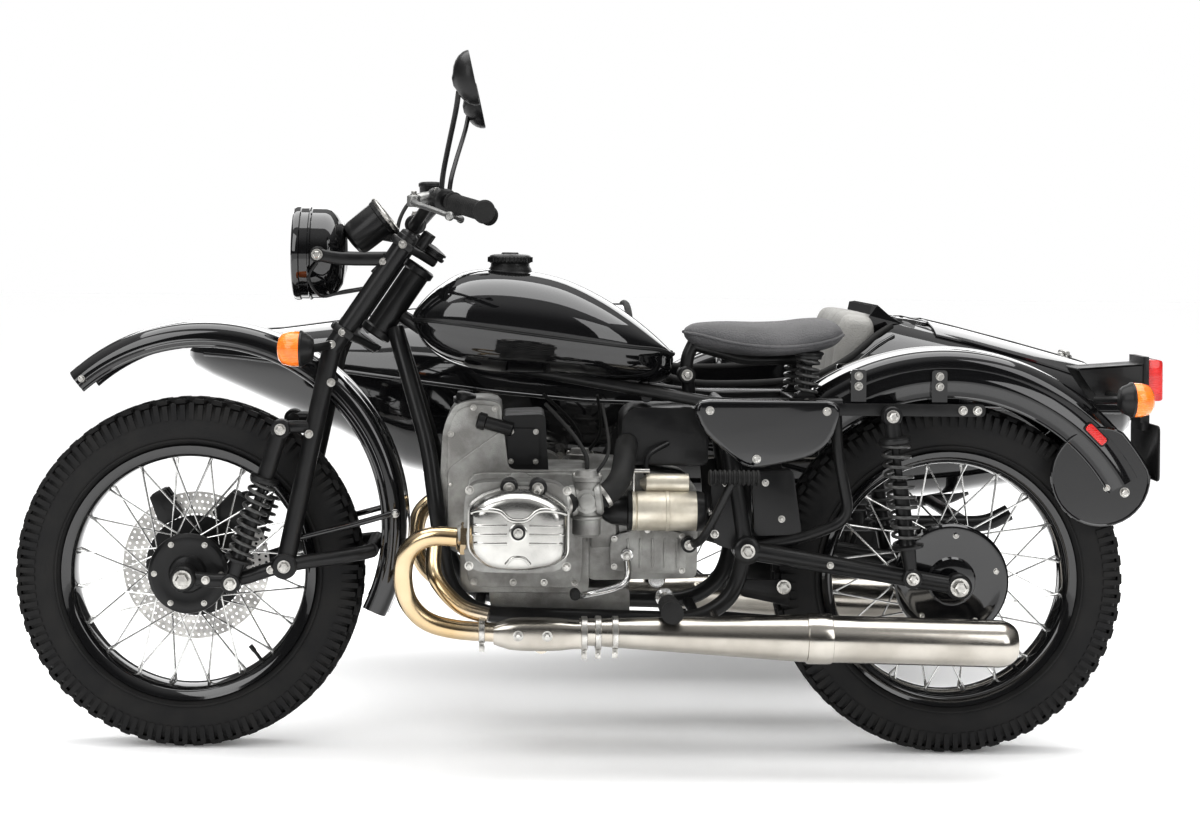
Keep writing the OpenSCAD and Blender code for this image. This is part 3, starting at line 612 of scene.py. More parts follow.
def drilled_disc(hub, y, thick, inner, outer, rows=4, sectors=72):
    """A brake disc, made of cells with a round hole in each, staggered row by row."""
    sector = Skin()
    step = math.tau / sectors
    tall = (outer - inner) / rows
    hole = 3.1
    for row in range(rows):
        low = inner + row * tall
        middle_r = low + tall / 2
        skew = step / 2 * (row % 2)
        square, circle = [], []
        for k in range(8):
            u, v = math.cos(math.tau * k / 8), math.sin(math.tau * k / 8)
            big = max(abs(u), abs(v))
            square.append((middle_r + v / big * tall / 2, skew + u / big * step / 2))
            circle.append((middle_r + hole * v, skew + hole * u / middle_r))
        loops = []
        for loop, depth in ((square, y), (circle, y), (circle, y - thick), (square, y - thick)):
            loops.append([(hub[0] + r * math.cos(a), hub[1] + depth, hub[2] + r * math.sin(a))
                          for r, a in loop])
        sector.rings(loops, caps=False)
    edge = Skin()
    for r in (inner, outer):
        edge.lathe(hub, (0, 1, 0), [(y - thick, r), (y, r)], sectors * 2)
        edge.faces = [f for f in edge.faces if len(f) == 4]
        edge.marks = edge.marks[:len(edge.faces)]
    mesh = sector.mesh("disc_sector", [disc_steel])
    return joined("disc", repeated(mesh, sectors, disc_steel, hub, turn=step),
                  edge.mesh("disc_edge", [disc_steel]))


for wheel, hub in axles.items():
    front = wheel == "front"
    flange_r, flange_y = (66, 36) if front else (80, 38)
    rim = Skin()
    rim.lathe(hub, (0, 1, 0), [
        (-14, 225.5), (-28, 228), (-37, 231), (-42, 236), (-45, 246), (-46.5, 251), (-44.5, 253),
        (-42, 251), (-37.5, 242), (-34, 240.5), (34, 240.5), (37.5, 242), (42, 251),
        (44.5, 253), (46.5, 251), (45, 246), (42, 236), (37, 231), (28, 228), (14, 225.5),
        (0, 224.5)], 96, whole=True)
    cast = Skin()
    cast.lathe(hub, (0, 1, 0), [
        (-60, 20), (-60, 33), (-44, 35), (-42, flange_r - 3), (-flange_y - 2, flange_r),
        (-flange_y + 2, flange_r), (-flange_y + 6, flange_r - 4), (-flange_y + 9, 40), (0, 35),
        (flange_y - 9, 40), (flange_y - 6, flange_r - 4), (flange_y - 2, flange_r),
        (flange_y + 2, flange_r), (42, flange_r - 3), (44, 35), (60, 33), (60, 20)], 48)
    if front:
        cover = [(44, 60), (44, 78), (49, 79.5), (54, 78), (58, 72), (59, 62), (57.5, 55),
                 (57.5, 38), (63, 34), (66, 24), (67, 14)]
        cast.lathe(hub, (0, 1, 0), cover, 64)
        cast.lathe(hub, (0, 1, 0), [(-50, 30), (-53, 60), (-56, 99), (-53, 101), (-49, 62)], 48)
        places = round_places(hub, 66, 6, 59, 4.2) + round_places(
            hub, 90, 8, -61, 5, (0, -1, 0))
    else:
        big = 112 if wheel == "rear" else 98
        face = 72 if wheel == "rear" else 66
        cast.lathe(hub, (0, 1, 0), [
            (43, 40), (43, big - 4), (46, big), (58, big), (60, big - 3), (62, big),
            (face - 5, big),
            (face - 1, big - 4), (face, big - 10), (face - 1.5, big - 16), (face - 3, big - 30),
            (face - 3, 48), (face + 1, 44), (face + 3, 30), (face + 3, 16)], 80)
        y = hub[1] + face
        places = round_places(hub, big - 22, 5, y - 3, 4.4, first=0.4)
    piece(f"{wheel}_rim_and_hub",
          joined(f"{wheel}_rim", rim.mesh("rim", [enamel], sharp=50),
                 cast.mesh("hub", [satin if front else enamel], sharp=28),
                 bolts(places, bright)),
          f"{wheel}_wheel", [f"{wheel}_wheel"])
    lacing = Skin()
    for s in (-1, 1):
        for way in (-1, 1):
            a = math.tau * (0.5 if s > 0 else 0) / 10
            b = a + way * math.radians(46)
            ends = [(hub[0] + r * math.cos(t), hub[1] + y, hub[2] + r * math.sin(t))
                    for r, t, y in ((flange_r - 6, a, s * flange_y + way * 4),
                                    (rim_r + 1, b, s * 12))]
            low, high = Vector(ends[0]), Vector(ends[1])
            lacing.tube([low, high], 2.0, 8)
            lacing.tube([high + (low - high).normalized() * 17, high], [2.6, 3.6], 8)
            lacing.lathe(ends[0], (0, way, 0), [(-1, 3.6), (1.5, 3.6), (2.5, 2.4)], 8)
    spokes = repeated(lacing.mesh("spoke_group", [spoke_steel]), 10, spoke_steel, hub,
                      turn=math.tau / 10)
    piece(f"{wheel}_spokes", spokes, f"{wheel}_wheel")
    valve = Skin()
    across = Vector((math.cos(4.05), 0, math.sin(4.05)))
    foot = Vector(hub) + across * 225
    valve.tube([foot, foot - across * 22], 3.4, 10)
    valve.tube([foot - across * 20, foot - across * 34], 4.6, 10)
    piece(f"{wheel}_valve", valve.mesh("valve", [satin]), f"{wheel}_wheel")
piece("front_brake_disc", drilled_disc(axles["front"], -56, 5, 95, 148), "front_wheel")


# Fork: two straight steel legs in satin black, held by two pressed clamps on the stem.
# Rubber-bushed caps close the legs, and a friction damper's rings sit over the stem.
head = Vector((1043, 0, 961))
rake = math.radians(33.9)
fork_y = 100
link_pivot = (1304, 105, 371)
shock_low, shock_top = (1406, 122, 339), (1312, 122, 638)


def steer(x, y, z):
    """A place in the steering head's own frame: z up the stem and x ahead of it."""
    return Vector((head.x + x * math.cos(rake) - z * math.sin(rake), y,
                   head.z + x * math.sin(rake) + z * math.cos(rake)))


stem_way = steer(0, 0, 1) - head
left_way = Vector((0, 1, 0))
fork = Skin()
for z in (-203, 2):
    outline = [(-22, -22), (8, -62), (28, -fork_y - 24), (50, -fork_y - 30), (72, -fork_y - 20),
               (78, -fork_y + 4), (66, -60), (60, 0)]
    outline += [(x, -y) for x, y in reversed(outline[:-1])]
    fork.rings([[steer(x, y, z + h) for x, y in outline] for h in (0, 16)])
fork_mesh = fork.mesh("clamps", [satin], bevel=4.5, segments=3)
legs = Skin()
legs.lathe(steer(0, 0, -206), stem_way, [(0, 20), (10, 26), (20, 26)], 32)
legs.lathe(steer(0, 0, 18), stem_way, [
    (0, 30), (3, 32), (7, 32), (8, 28), (11, 28), (12, 31), (16, 31), (18, 24), (20, 13),
    (21, 6)], 32)
for y in (-44, 44):
    legs.lathe(steer(22, y, 16), stem_way, [(0, 15), (4, 15), (6, 12), (38, 12)], 24)


def fork_leg():
    top, knee = steer(50, fork_y, 30), steer(50, fork_y, -238)
    foot = Vector((link_pivot[0], fork_y, link_pivot[2]))
    legs.lathe(top, knee - top, [(0, 17), (4, 20), (14, 20), (16, 18.5),
                                 ((knee - top).length, 18.5)], 28)
    legs.tube([knee - (foot - knee).normalized() * 6, foot], [18.5, 18.5], 28)
    legs.lathe(top, top - knee, [(-2, 19), (4, 18), (8, 13), (9, 6)], 24)
    legs.lathe((link_pivot[0], 82, link_pivot[2]), left_way,
               [(0, 21), (3, 25), (38, 25), (41, 21), (41, 10)], 32)
    legs.tube([(1252, fork_y, 640), (1286, 112, 641), (1312, 116, 640)], 12, 16, 4)
    legs.lathe((shock_top[0], 98, shock_top[2]), left_way, [(0, 8), (1, 12), (37, 12), (38, 8)], 20)
    # Brake hose guides and the lug that the fender's stay bolts to
    legs.tube([(1216, 98, 732), (1212, 84, 734)], 8, 12)


both_sides(fork_leg, legs)
fork_bolts = []
for s in (-1, 1):
    fork_bolts += [((link_pivot[0], s * 123, link_pivot[2]), (0, s, 0), 9),
                   ((shock_top[0], s * 137, shock_top[2]), (0, s, 0), 8),
                   ((1258, s * 119, 628), (0, s, 0), 6), ((1216, s * 118, 728), (0, s, 0), 6),
                   (steer(50, s * 126, -196), (0, s, 0), 6), (steer(50, s * 128, 10), (0, s, 0), 6)]
piece("fork_legs", joined("fork", fork_mesh, legs.mesh("legs", [satin], sharp=30),
                          bolts(fork_bolts)), "steering", ["fork"])


# Leading link: a tubular fork that swings at the legs' feet and carries the axle, with the
# caliper that straddles the disc. Forged and welded steel, painted black.
link_arm = Skin()


def link_side():
    hub = axles["front"]
    link_arm.tube([(1494, 104, 345), (1406, 104, 341), (1304, 104, 371), (1175, 98, 391),
                   (1137, 82, 398)], 14, 20, 3)
    link_arm.lathe((hub[0], 84, hub[2]), left_way,
                   [(0, 22), (2, 25), (38, 25), (42, 22), (43, 12)], 32)
    link_arm.lathe((shock_low[0], 94, shock_low[2]), left_way, [(0, 10), (2, 14), (41, 14)], 24)
    link_arm.lathe((1137, 84, 398), (0, -1, 0), [(0, 14), (84, 14)], 24)


both_sides(link_side, link_arm)
link_arm.tube([(1398, -84, 400), (1402, -104, 350)], 11, 16)
brake = Skin()
for around, length in ((56, 68), (118, 52)):
    a = math.radians(around)
    radial = Vector((-math.cos(a), 0, math.sin(a)))
    tangent = Vector((math.sin(a), 0, math.cos(a)))
    centre = Vector(axles["front"])
    outline = [(-0.5, 108), (-0.36, 166), (0.36, 166), (0.5, 108), (0.3, 102), (-0.3, 102)]
    for y0, y1 in ((-92, -66), (-52, -42)):
        brake.rings([[centre + radial * r + tangent * (u * length) + Vector((0, y, 0))
                      for u, r in outline] for y in (y0, y1)])
    brake.rings([[centre + radial * r + tangent * (u * length * 0.7) + Vector((0, y, 0))
                  for u, r in ((-0.4, 154), (-0.4, 168), (0.4, 168), (0.4, 154))]
                 for y in (-90, -44)])
link_bolts = []
for s in (-1, 1):
    link_bolts += [((1500, s * 126, 345), (0, s, 0), 13), ((1406, s * 136, 339), (0, s, 0), 9),
                   ((1330, s * 118, 364), (0, s, 0), 6), ((1456, s * 118, 343), (0, s, 0), 6)]
link_bolts += [((1408, -92, 398), (0, -1, 0), 6), ((1440, -92, 440), (0, -1, 0), 6)]
piece("leading_link_fork",
      joined("link", link_arm.mesh("arm", [satin], sharp=30),
             brake.mesh("caliper", [satin], bevel=4), bolts(link_bolts)),
      "steering", ["leading_link"])


# Shock absorbers: an oil damper in a sealed body, with a bare coil spring of round wire
# round it and a rubber-bushed eye at each end.
def coil_tree():
    """Geometry nodes that wind a spring of round wire up the Z axis."""
    tree = bpy.data.node_groups.new("coil", "GeometryNodeTree")
    socket(tree, "Mesh", "INPUT", "NodeSocketGeometry")
    for name in ("Turns", "Radius", "Wire", "Height"):
        socket(tree, name, "INPUT", "NodeSocketFloat", 1.0)
    socket(tree, "Material", "INPUT", "NodeSocketMaterial")
    socket(tree, "Mesh", "OUTPUT", "NodeSocketGeometry")
    start = new_node(tree, "NodeGroupInput")
    end = new_node(tree, "NodeGroupOutput")
    spiral = new_node(tree, "GeometryNodeCurveSpiral", {"Resolution": 24})
    wire = new_node(tree, "GeometryNodeCurvePrimitiveCircle", {"Resolution": 8})
    skin = new_node(tree, "GeometryNodeCurveToMesh", {"Fill Caps": True})
    real = new_node(tree, "GeometryNodeRealizeInstances")
    paint = new_node(tree, "GeometryNodeSetMaterial")
    connect(tree, (start, "Turns", spiral, "Rotations"), (start, "Radius", spiral, "Start Radius"),
         (start, "Radius", spiral, "End Radius"), (start, "Height", spiral, "Height"),
         (start, "Wire", wire, "Radius"), (spiral, "Curve", skin, "Curve"),
         (wire, "Curve", skin, "Profile Curve"), (skin, "Mesh", real, "Geometry"),
         (real, "Geometry", paint, "Geometry"), (start, "Material", paint, "Material"),
         (paint, "Geometry", end, "Mesh"))
    return tree


winding = coil_tree()
spring_black = finish("spring_black", (0.03, 0.03, 0.03), 0.3, second=(0.05, 0.05, 0.048),
                      cloud=40, grain=500, bump=0.05, dust=0.1, Coat_Weight=0.5)


def shock(low, top, start, stop, spring_r, turns, body_r=15):
    """One shock absorber between its two eyes, with its spring from start to stop."""
    low, top = Vector(low), Vector(top)
    way = (top - low).normalized()
    long = (top - low).length
    body = Skin()
    first, last = start * long, stop * long
    body.lathe(low, way, [
        (10, 12), (first - 8, 15), (first - 5, spring_r + 1), (first, spring_r + 2),
        (first + 2, body_r + 2), (first + 8, body_r), (last * 0.7, body_r), (last * 0.7 + 4, 8),
        (last - 4, 8), (last - 2, spring_r + 1), (last + 4, spring_r + 2), (last + 8, spring_r),
        (last + 10, 17), (long - 14, 16), (long - 10, 12)], 28)
    for end in (low, top):
        body.lathe(end - left_way * 14, left_way,
                   [(0, 8), (0, 17), (2, 19), (26, 19), (28, 17), (28, 8)], 28)
    empty = bpy.data.meshes.new("spring")
    spring = grown(empty, winding, Turns=float(turns), Radius=(spring_r - 3.6) / 1000,
                   Wire=0.0036, Height=(last - first - 6) / 1000, Material=spring_black)
    turn = Vector((0, 0, 1)).rotation_difference(way).to_matrix().to_4x4()
    spring.transform(Matrix.Translation(at(*(low + way * (first + 3)))) @ turn)
    spring.shade_smooth()
    return joined("shock", body.mesh("shock_body", [satin], sharp=30), spring)


def on_right(p):
    return (p[0], -p[1], p[2])


front_shocks = [shock(low, top, 0.16, 0.66, 27, 9) for low, top in
                ((shock_low, shock_top), (on_right(shock_low), on_right(shock_top)))]
piece("front_shock_absorbers", joined("front_shocks", *front_shocks), "steering",
      ["front_shocks"])


# Front fender: a deep pressed steel blade in black enamel, with a rolled edge, a bead along
# each side and stays to the fork.
def fender(centre, crown, half, skirt, first, last, y=0.0, bead=0.0, ridge=0.0, steps=72,
           lobe=None):
    """A fender swept round its centre, from one angle to another in degrees."""
    corner = 27
    outer = []
    for k in range(13):
        b = math.radians(90 * k / 12)
        outer.append((crown - corner + corner * math.sin(b), half - corner + corner * math.cos(b)))
    dome = [(crown + ridge * math.exp(-(v / 9) ** 2) + 1.5 * (1 - (v / (half - 27)) ** 2), v)
            for v in ([half - 27 - 10 * k for k in range(1, int((half - 27) / 10))]
                      + [8, 4, 0])]
    side = [(crown - skirt + k * (skirt - corner) / 8, half + bead * math.exp(
        -((k - 4) / 1.2) ** 2)) for k in range(8)]
    profile = side + outer + dome
    profile += [(r, -v) for r, v in reversed(profile[:-1])]
    inner = [(r - 2.6 if r > crown - 20 else r, v - math.copysign(2.6, v) if abs(v) > half - 26
              else v) for r, v in profile]
    ring = profile + inner[::-1]
    made = Skin()
    rings = []
    for k in range(steps + 1):
        a = math.radians(first + (last - first) * k / steps)
        drop = lobe(first + (last - first) * k / steps) if lobe else 0
        rings.append([(centre[0] + (r - (drop if r < crown - skirt + 12 else 0)) * math.cos(a),
                       y + v,
                       centre[2] + (r - (drop if r < crown - skirt + 12 else 0)) * math.sin(a))
                      for r, v in ring])
    made.rings(rings)
    for s in (-1, 1):
        route = []
        for k in range(steps + 1):
            a = math.radians(first + (last - first) * k / steps)
            drop = lobe(first + (last - first) * k / steps) if lobe else 0
            r = crown - skirt - drop + 1
            route.append((centre[0] + r * math.cos(a), y + s * (half - 1),
                          centre[2] + r * math.sin(a)))
        made.tube(route, 3.4, 8)
    return made


front_centre = (1470, 0, 440)
blade = fender(front_centre, 400, 77, 46, 48.5, 206, bead=3.5, ridge=2.5)
for s in (-1, 1):
    blade.tube([(1216, s * 74, 732), (1216, s * 88, 732)], 9, 16)
    blade.tube([(1092, s * 72, 470), (1096, s * 78, 470), (1190, s * 84, 444),
                (1290, s * 92, 420)], 6, 12, 4)
tip = math.radians(50.5)
fender_bolts = [((1216, s * 88, 732), (0, s, 0), 6) for s in (-1, 1)]
for s in (-1, 1):
    fender_bolts.append(((front_centre[0] + 374 * math.cos(tip), s * 77.5,
                          front_centre[2] + 374 * math.sin(tip)), (0, s, 0), 5))
    fender_bolts.append(((1092, s * 77, 470), (0, s, 0), 6))
piece("front_fender_blade", joined("front_fender", blade.mesh("blade", [enamel], sharp=32),
                                   bolts(fender_bolts)),
      "steering", ["front_fender"])


# Headlight: a deep steel can in black enamel, with a bright-edged rim, a fluted glass and
# a domed back, held between two bracket arms by a bolt on each side.
lamp_z = 978
glass = bpy.data.materials.new("lamp_glass")
glass.use_nodes = True
glass_shader = glass.node_tree.nodes["Principled BSDF"]
glass_shader.inputs["Base Color"].default_value = (0.96, 0.97, 0.97, 1)
glass_shader.inputs["Transmission Weight"].default_value = 1
glass_shader.inputs["IOR"].default_value = 1.45
flute_place = glass.node_tree.nodes.new("ShaderNodeTexCoord")
flutes = glass.node_tree.nodes.new("ShaderNodeTexWave")
flutes.bands_direction = "Y"
flutes.inputs["Scale"].default_value = 26
flute_relief = glass.node_tree.nodes.new("ShaderNodeBump")
flute_relief.inputs["Strength"].default_value = 0.35
flute_relief.inputs["Distance"].default_value = 0.001
flute_rough = glass.node_tree.nodes.new("ShaderNodeMapRange")
flute_rough.inputs["To Min"].default_value = 0.02
flute_rough.inputs["To Max"].default_value = 0.08
link(glass.node_tree, flute_place.outputs["Object"], flutes.inputs["Vector"])
link(glass.node_tree, flutes.outputs["Fac"], flute_relief.inputs["Height"])
link(glass.node_tree, flutes.outputs["Fac"], flute_rough.inputs["Value"])
link(glass.node_tree, flute_relief.outputs["Normal"], glass_shader.inputs["Normal"])
link(glass.node_tree, flute_rough.outputs["Result"], glass_shader.inputs["Roughness"])
mirror_silver = finish("mirror_silver", (0.86, 0.87, 0.88), 0.03, 1.0,
                       second=(0.8, 0.81, 0.82), bump=0.0, spread=0.03)

forward = Vector((1, 0, 0))
can = Skin()
can.lathe((0, 0, lamp_z), forward, [
    (1196, 12), (1198, 40), (1204, 62), (1214, 78), (1226, 87), (1236, 89.5), (1262, 90),
    (1264, 93), (1267, 93.5), (1269, 91), (1284, 91), (1286, 93.5), (1293, 94), (1298, 92),
    (1300, 88), (1298, 84), (1293, 83), (1280, 80), (1262, 66), (1246, 44), (1238, 20),
    (1236, 5)], 64)
reflector = Skin()
reflector.lathe((0, 0, lamp_z), forward, [(1237, 4), (1240, 20), (1248, 44), (1264, 66),
                                          (1282, 79), (1292, 82)], 48)
pane = Skin()
pane.lathe((0, 0, lamp_z), forward, [
    (1292, 0.5), (1292, 60), (1291, 82), (1295, 83), (1300, 70), (1304, 45), (1306, 20),
    (1306.5, 0.5)], 48)
bulb = Skin()
bulb.lathe((0, 0, lamp_z), forward, [(1240, 9), (1262, 9), (1270, 7), (1276, 2)], 16)
ears = Skin()


def lamp_ear():
    ears.lathe((1246, 88, lamp_z - 2), left_way, [(0, 14), (4, 16), (12, 16), (14, 13), (24, 13)],
               24)
    ears.tube([(1246, 104, lamp_z - 2), (1200, 106, 968), tuple(steer(66, 104, -36))],
              [12, 9, 13], 14, 3, flat=0.5)
    # The wire guard's loop beneath the lamp's bracket
    ears.tube([(1246, 108, 960), (1262, 106, 930), (1240, 104, 896), (1206, 104, 900),
               tuple(steer(62, 104, -104))], 3, 8, 5)
    ears.tube([tuple(steer(52, 96, -60)), tuple(steer(70, 96, -56))], 14, 16)


both_sides(lamp_ear, ears)
lamp_bolts = [((1246, s * 112, lamp_z - 2), (0, s, 0), 8) for s in (-1, 1)]
lamp_bolts += [(tuple(steer(62, s * 112, -40)), (0, s, 0), 6) for s in (-1, 1)]
piece("headlight_can", joined("headlight", can.mesh("can", [enamel], sharp=40),
                              ears.mesh("ears", [satin], sharp=40), bolts(lamp_bolts)),
      "steering", ["headlight"])
piece("headlight_reflector", joined("mirror", reflector.mesh("bowl", [mirror_silver], sharp=60),
                                    bulb.mesh("bulb", [mirror_silver])), "steering")
piece("headlight_glass", pane.mesh("pane", [glass], sharp=60), "steering")


# Speedometer: a black can that tilts its dial up at the rider, with a bright bezel and a
# plain scale of marks with a needle. It stands on the upper clamp.
dial_at, dial_back = Vector((1118, 0, 1056)), Vector((1186, 0, 1002))
dial_way = (dial_at - dial_back).normalized()
dial_far = (dial_at - dial_back).length
dial_face = finish("dial_face", (0.012, 0.012, 0.013), 0.4, bump=0.02)
dial_mark = finish("dial_mark", (0.85, 0.83, 0.74), 0.5, bump=0.02)
gauge = Skin()
gauge.lathe(dial_back, dial_way, [(-4, 12), (-2, 26), (4, 33), (14, 36), (dial_far - 16, 37),
                                  (dial_far - 14, 39), (dial_far - 6, 39.5)], 48)
gauge.tube([(1150, 0, 1020), tuple(steer(62, 0, 16))], 12, 16)
bezel = Skin()
bezel.lathe(dial_back, dial_way, [
    (dial_far - 8, 39), (dial_far - 6, 41.5), (dial_far - 1, 42), (dial_far + 1, 40),
    (dial_far, 37), (dial_far - 3, 36.5)], 48, whole=True)
face = Skin()
face.lathe(dial_back, dial_way, [(dial_far - 6, 37), (dial_far - 4, 36), (dial_far - 3.9, 1)], 40)
marks = Skin()
side_way = dial_way.cross(left_way).normalized()
for k in range(25):
    b = math.radians(-130 + 260 * k / 24)
    out = side_way * math.cos(b) + left_way * math.sin(b)
    inner_r = 25 if k % 4 == 0 else 29
    start = dial_at + out * inner_r - dial_way * 3
    marks.tube([start, dial_at + out * 33 - dial_way * 3], 0.7, 4)
b = math.radians(-130)
marks.tube([dial_at - dial_way * 2.4, dial_at - dial_way * 2.4
            + (side_way * math.cos(b) + left_way * math.sin(b)) * 28], [1.6, 0.5], 6)
piece("speedometer_can", joined("speedometer", gauge.mesh("gauge", [satin], sharp=30),
                                face.mesh("face", [dial_face]),
                                marks.mesh("marks", [dial_mark])),
      "steering", ["speedometer"])
piece("speedometer_bezel", bezel.mesh("bezel", [bright], sharp=50), "steering")


# Handlebar: one bent steel tube in black, clamped on two risers, with the rubber grips, the
# switch pods, the two levers in their perches and the front brake's reservoir.
grip_rubber = finish("grip_rubber", (0.011, 0.011, 0.011), 0.6, second=(0.02, 0.02, 0.0195),
                     cloud=30, grain=420, bump=0.3, spread=0.15, dust=0.04,
                     Specular_IOR_Level=0.3)
bar_points = [(1062, 30, 1036), (1056, 92, 1038), (1014, 214, 1086), (984, 270, 1078),
              (925, 388, 1060)]
bar = Skin()
bar.tube([(x, -y, z) for x, y, z in reversed(bar_points)] + bar_points, 11, 20, 6)


def bar_clamp():
    bar.lathe((1060, 30, 1036), left_way, [(0, 16), (2, 19), (26, 19), (28, 16)], 24)


both_sides(bar_clamp, bar)
pods = Skin()
grips = Skin()
levers = Skin()
grip_start, grip_end = Vector((979, 281, 1077)), Vector((917, 404, 1058))
grip_way = (grip_end - grip_start).normalized()
grip_far = (grip_end - grip_start).length
ribs = [(0, 14), (1, 19), (6, 19.5), (8, 16)]
for k in range(15):
    ribs += [(along + k * 7.6, r)
             for along, r in ((10, 15.4), (12, 16.8), (15, 16.8), (16.6, 15.4))]
ribs += [(grip_far - 9, 16), (grip_far - 7, 21), (grip_far - 2, 22), (grip_far + 1, 19),
         (grip_far + 2, 8)]


def bar_end():
    grips.lathe(grip_start, grip_way, ribs, 28)
    pods.lathe((1014, 222, 1084), Vector((-28, 50, -7)), [
        (0, 17), (2, 22), (20, 23), (22, 21), (24, 23), (46, 24), (50, 20), (52, 14)], 24)
    pods.box((984, 236, 1056), (1012, 262, 1074), Matrix.Rotation(-0.5, 3, "Z"))
    pods.tube([(1000, 236, 1092), (1000, 238, 1104)], 6, 12)
    levers.tube([(1016, 228, 1084), (1036, 242, 1083), (1052, 252, 1079)], [15, 13, 12], 16)
    levers.lathe((1052, 254, 1068), (0, 0, 1), [(0, 10), (2, 13), (20, 13), (22, 10)], 20)
    levers.tube([(1050, 252, 1079), (1046, 292, 1073), (1012, 350, 1062), (980, 404, 1050)],
                [8, 7, 6.5, 6], 14, 5, flat=0.7)
    levers.lathe((981, 402, 1050), (-30, 52, -10), [(-6, 4), (-3, 8), (3, 8.5), (7, 4)], 14)


both_sides(bar_end, grips, pods, levers)
pods.lathe((1040, -248, 1086), (0, 0, 1), [
    (0, 14), (2, 20), (6, 23), (30, 24), (31, 26), (38, 26), (41, 22), (42, 8)], 28)
perch_silver = finish("perch_alloy", (0.34, 0.34, 0.33), 0.34, 0.9, second=(0.2, 0.2, 0.2),
                      cloud=40, grain=600, bump=0.12, spread=0.15)
piece("handlebar_tube", bar.mesh("bar", [satin], sharp=30), "steering",
      ["handlebar"])
piece("handlebar_grips", grips.mesh("grips", [grip_rubber], sharp=30), "steering",
      ["hand_controls"])
piece("switch_pods", pods.mesh("pods", [satin], bevel=1.5, corner=60), "steering")
piece("brake_and_clutch_levers",
      joined("levers", levers.mesh("levers", [perch_silver], sharp=35),
             bolts([((1052, s * 254, 1091), (0, 0, 1), 5) for s in (-1, 1)]
                   + [((1012, s * 244, 1100), (0, 0, 1), 3.5) for s in (-1, 1)]
                   + [((1060, s * y, 1056), (0, 0, 1), 4.5) for s in (-1, 1) for y in (37, 51)])),
      "steering")


# Mirrors: a domed black shell on a thin bent stalk, with its silvered glass to the rear.
shells = Skin()
panes = Skin()
glass_way = Vector((-1, 0, 0.22)).normalized()


def mirror_shell():
    shells.tube([(1002, 240, 1088), (998, 246, 1130), (988, 290, 1176), (972, 372, 1240),
                 (966, 404, 1274)], 5, 12, 6)
    shells.lathe((1002, 240, 1084), (0, 0, 1), [(0, 9), (12, 9), (14, 6)], 6)
    shells.lathe((974, 412, 1292), glass_way, [
        (-3, 8), (0, 14), (4, 27), (10, 37), (17, 44), (26, 49), (32, 50.5), (36, 50.5),
        (37, 48.5), (34, 47)], 48)
    panes.lathe((974, 412, 1292), glass_way, [(34, 47.5), (35.2, 47), (35.8, 30), (36, 1)], 40)


both_sides(mirror_shell, shells, panes)
piece("mirror_shells", shells.mesh("shells", [satin], sharp=40), "steering",
      ["mirrors"])
piece("mirror_glasses", panes.mesh("glasses", [mirror_silver], sharp=60), "steering")


# Turn signals: ribbed amber lenses on black rubber-mounted bodies, one in front and one behind.
def lens_finish(name, colour, second):
    """A moulded lens: smooth outside, with fine ribs that catch the light."""
    material = finish(name, colour, 0.12, second=second, cloud=30, bump=0.0, spread=0.06,
                      Coat_Weight=1.0, Subsurface_Weight=0.25)
    tree = material.node_tree
    shader = tree.nodes["Principled BSDF"]
    shader.inputs["Subsurface Radius"].default_value = (0.01, 0.004, 0.002)
    shader.inputs["Emission Color"].default_value = (*colour, 1)
    shader.inputs["Emission Strength"].default_value = 0.12
    place = new_node(tree, "ShaderNodeTexCoord")
    rib = new_node(tree, "ShaderNodeTexWave", {"Scale": 90}, bands_direction="Z")
    relief = new_node(tree, "ShaderNodeBump", {"Strength": 0.5, "Distance": 0.0012})
    connect(tree, (place, "Object", rib, "Vector"), (rib, "Fac", relief, "Height"),
         (relief, "Normal", shader, "Normal"))
    return material


amber = lens_finish("amber_lens", (0.9, 0.24, 0.012), (0.75, 0.16, 0.008))
lens_red = lens_finish("red_lens", (0.62, 0.012, 0.01), (0.45, 0.006, 0.006))


def signal(body, lenses, foot, way, stalk, lens_r=34, deep=48):
    """A round signal whose lens faces along way."""
    body.lathe(foot, way, [(-22, 9), (-20, 20), (-14, 26), (-2, lens_r - 2), (1, lens_r + 1),
                           (5, lens_r + 1), (6, lens_r - 2)], 36)
    lenses.lathe(foot, way, [(4, lens_r - 1), (8, lens_r), (deep * 0.5, lens_r - 0.5),
                             (deep * 0.78, lens_r - 4), (deep * 0.94, lens_r - 12),
                             (deep, lens_r - 22), (deep + 0.6, 1)], 36)
    body.tube(stalk, 8.5, 14, 3)


front_bodies, front_lenses = Skin(), Skin()
signal(front_bodies, front_lenses, (1266, 176, 796), (1, 0, 0),
       [(1256, 174, 796), (1236, 146, 798), (1216, 108, 802)])
piece("front_signal_body",
      joined("signals", front_bodies.mesh("bodies", [satin], sharp=32),
             bolts([((1216, 118, 802), (0, 1, 0), 6)])),
      "steering")
piece("front_signal_lens", front_lenses.mesh("lenses", [amber], sharp=60), "steering",
      ["front_turn_signal"])


# Brake hose: a steel-braided rubber hose, held all the way from the reservoir to the caliper.
hose_route = [
    (1040, -250, 1092), (1075, -215, 1090), (1100, -172, 1050), (1112, -146, 985),
    (1140, -138, 915), (1180, -138, 840), (1212, -136, 760), (1246, -134, 665),
    (1270, -128, 590), (1300, -104, 535), (1335, -80, 505), (1372, -74, 494), (1410, -80, 484)]
hose = Skin()
hose.tube(hose_route, 4, 12, 6)
for end, along in ((0, 1), (-1, -2)):
    a, b = Vector(hose_route[end]), Vector(hose_route[along])
    hose.lathe(a, b - a, [(-4, 5), (0, 7), (10, 7), (12, 5.5), (22, 5.5), (24, 4.2)], 12)
piece("front_brake_hose", hose.mesh("hose", [grip_rubber], sharp=40), "steering",
      ["brake_hose"])


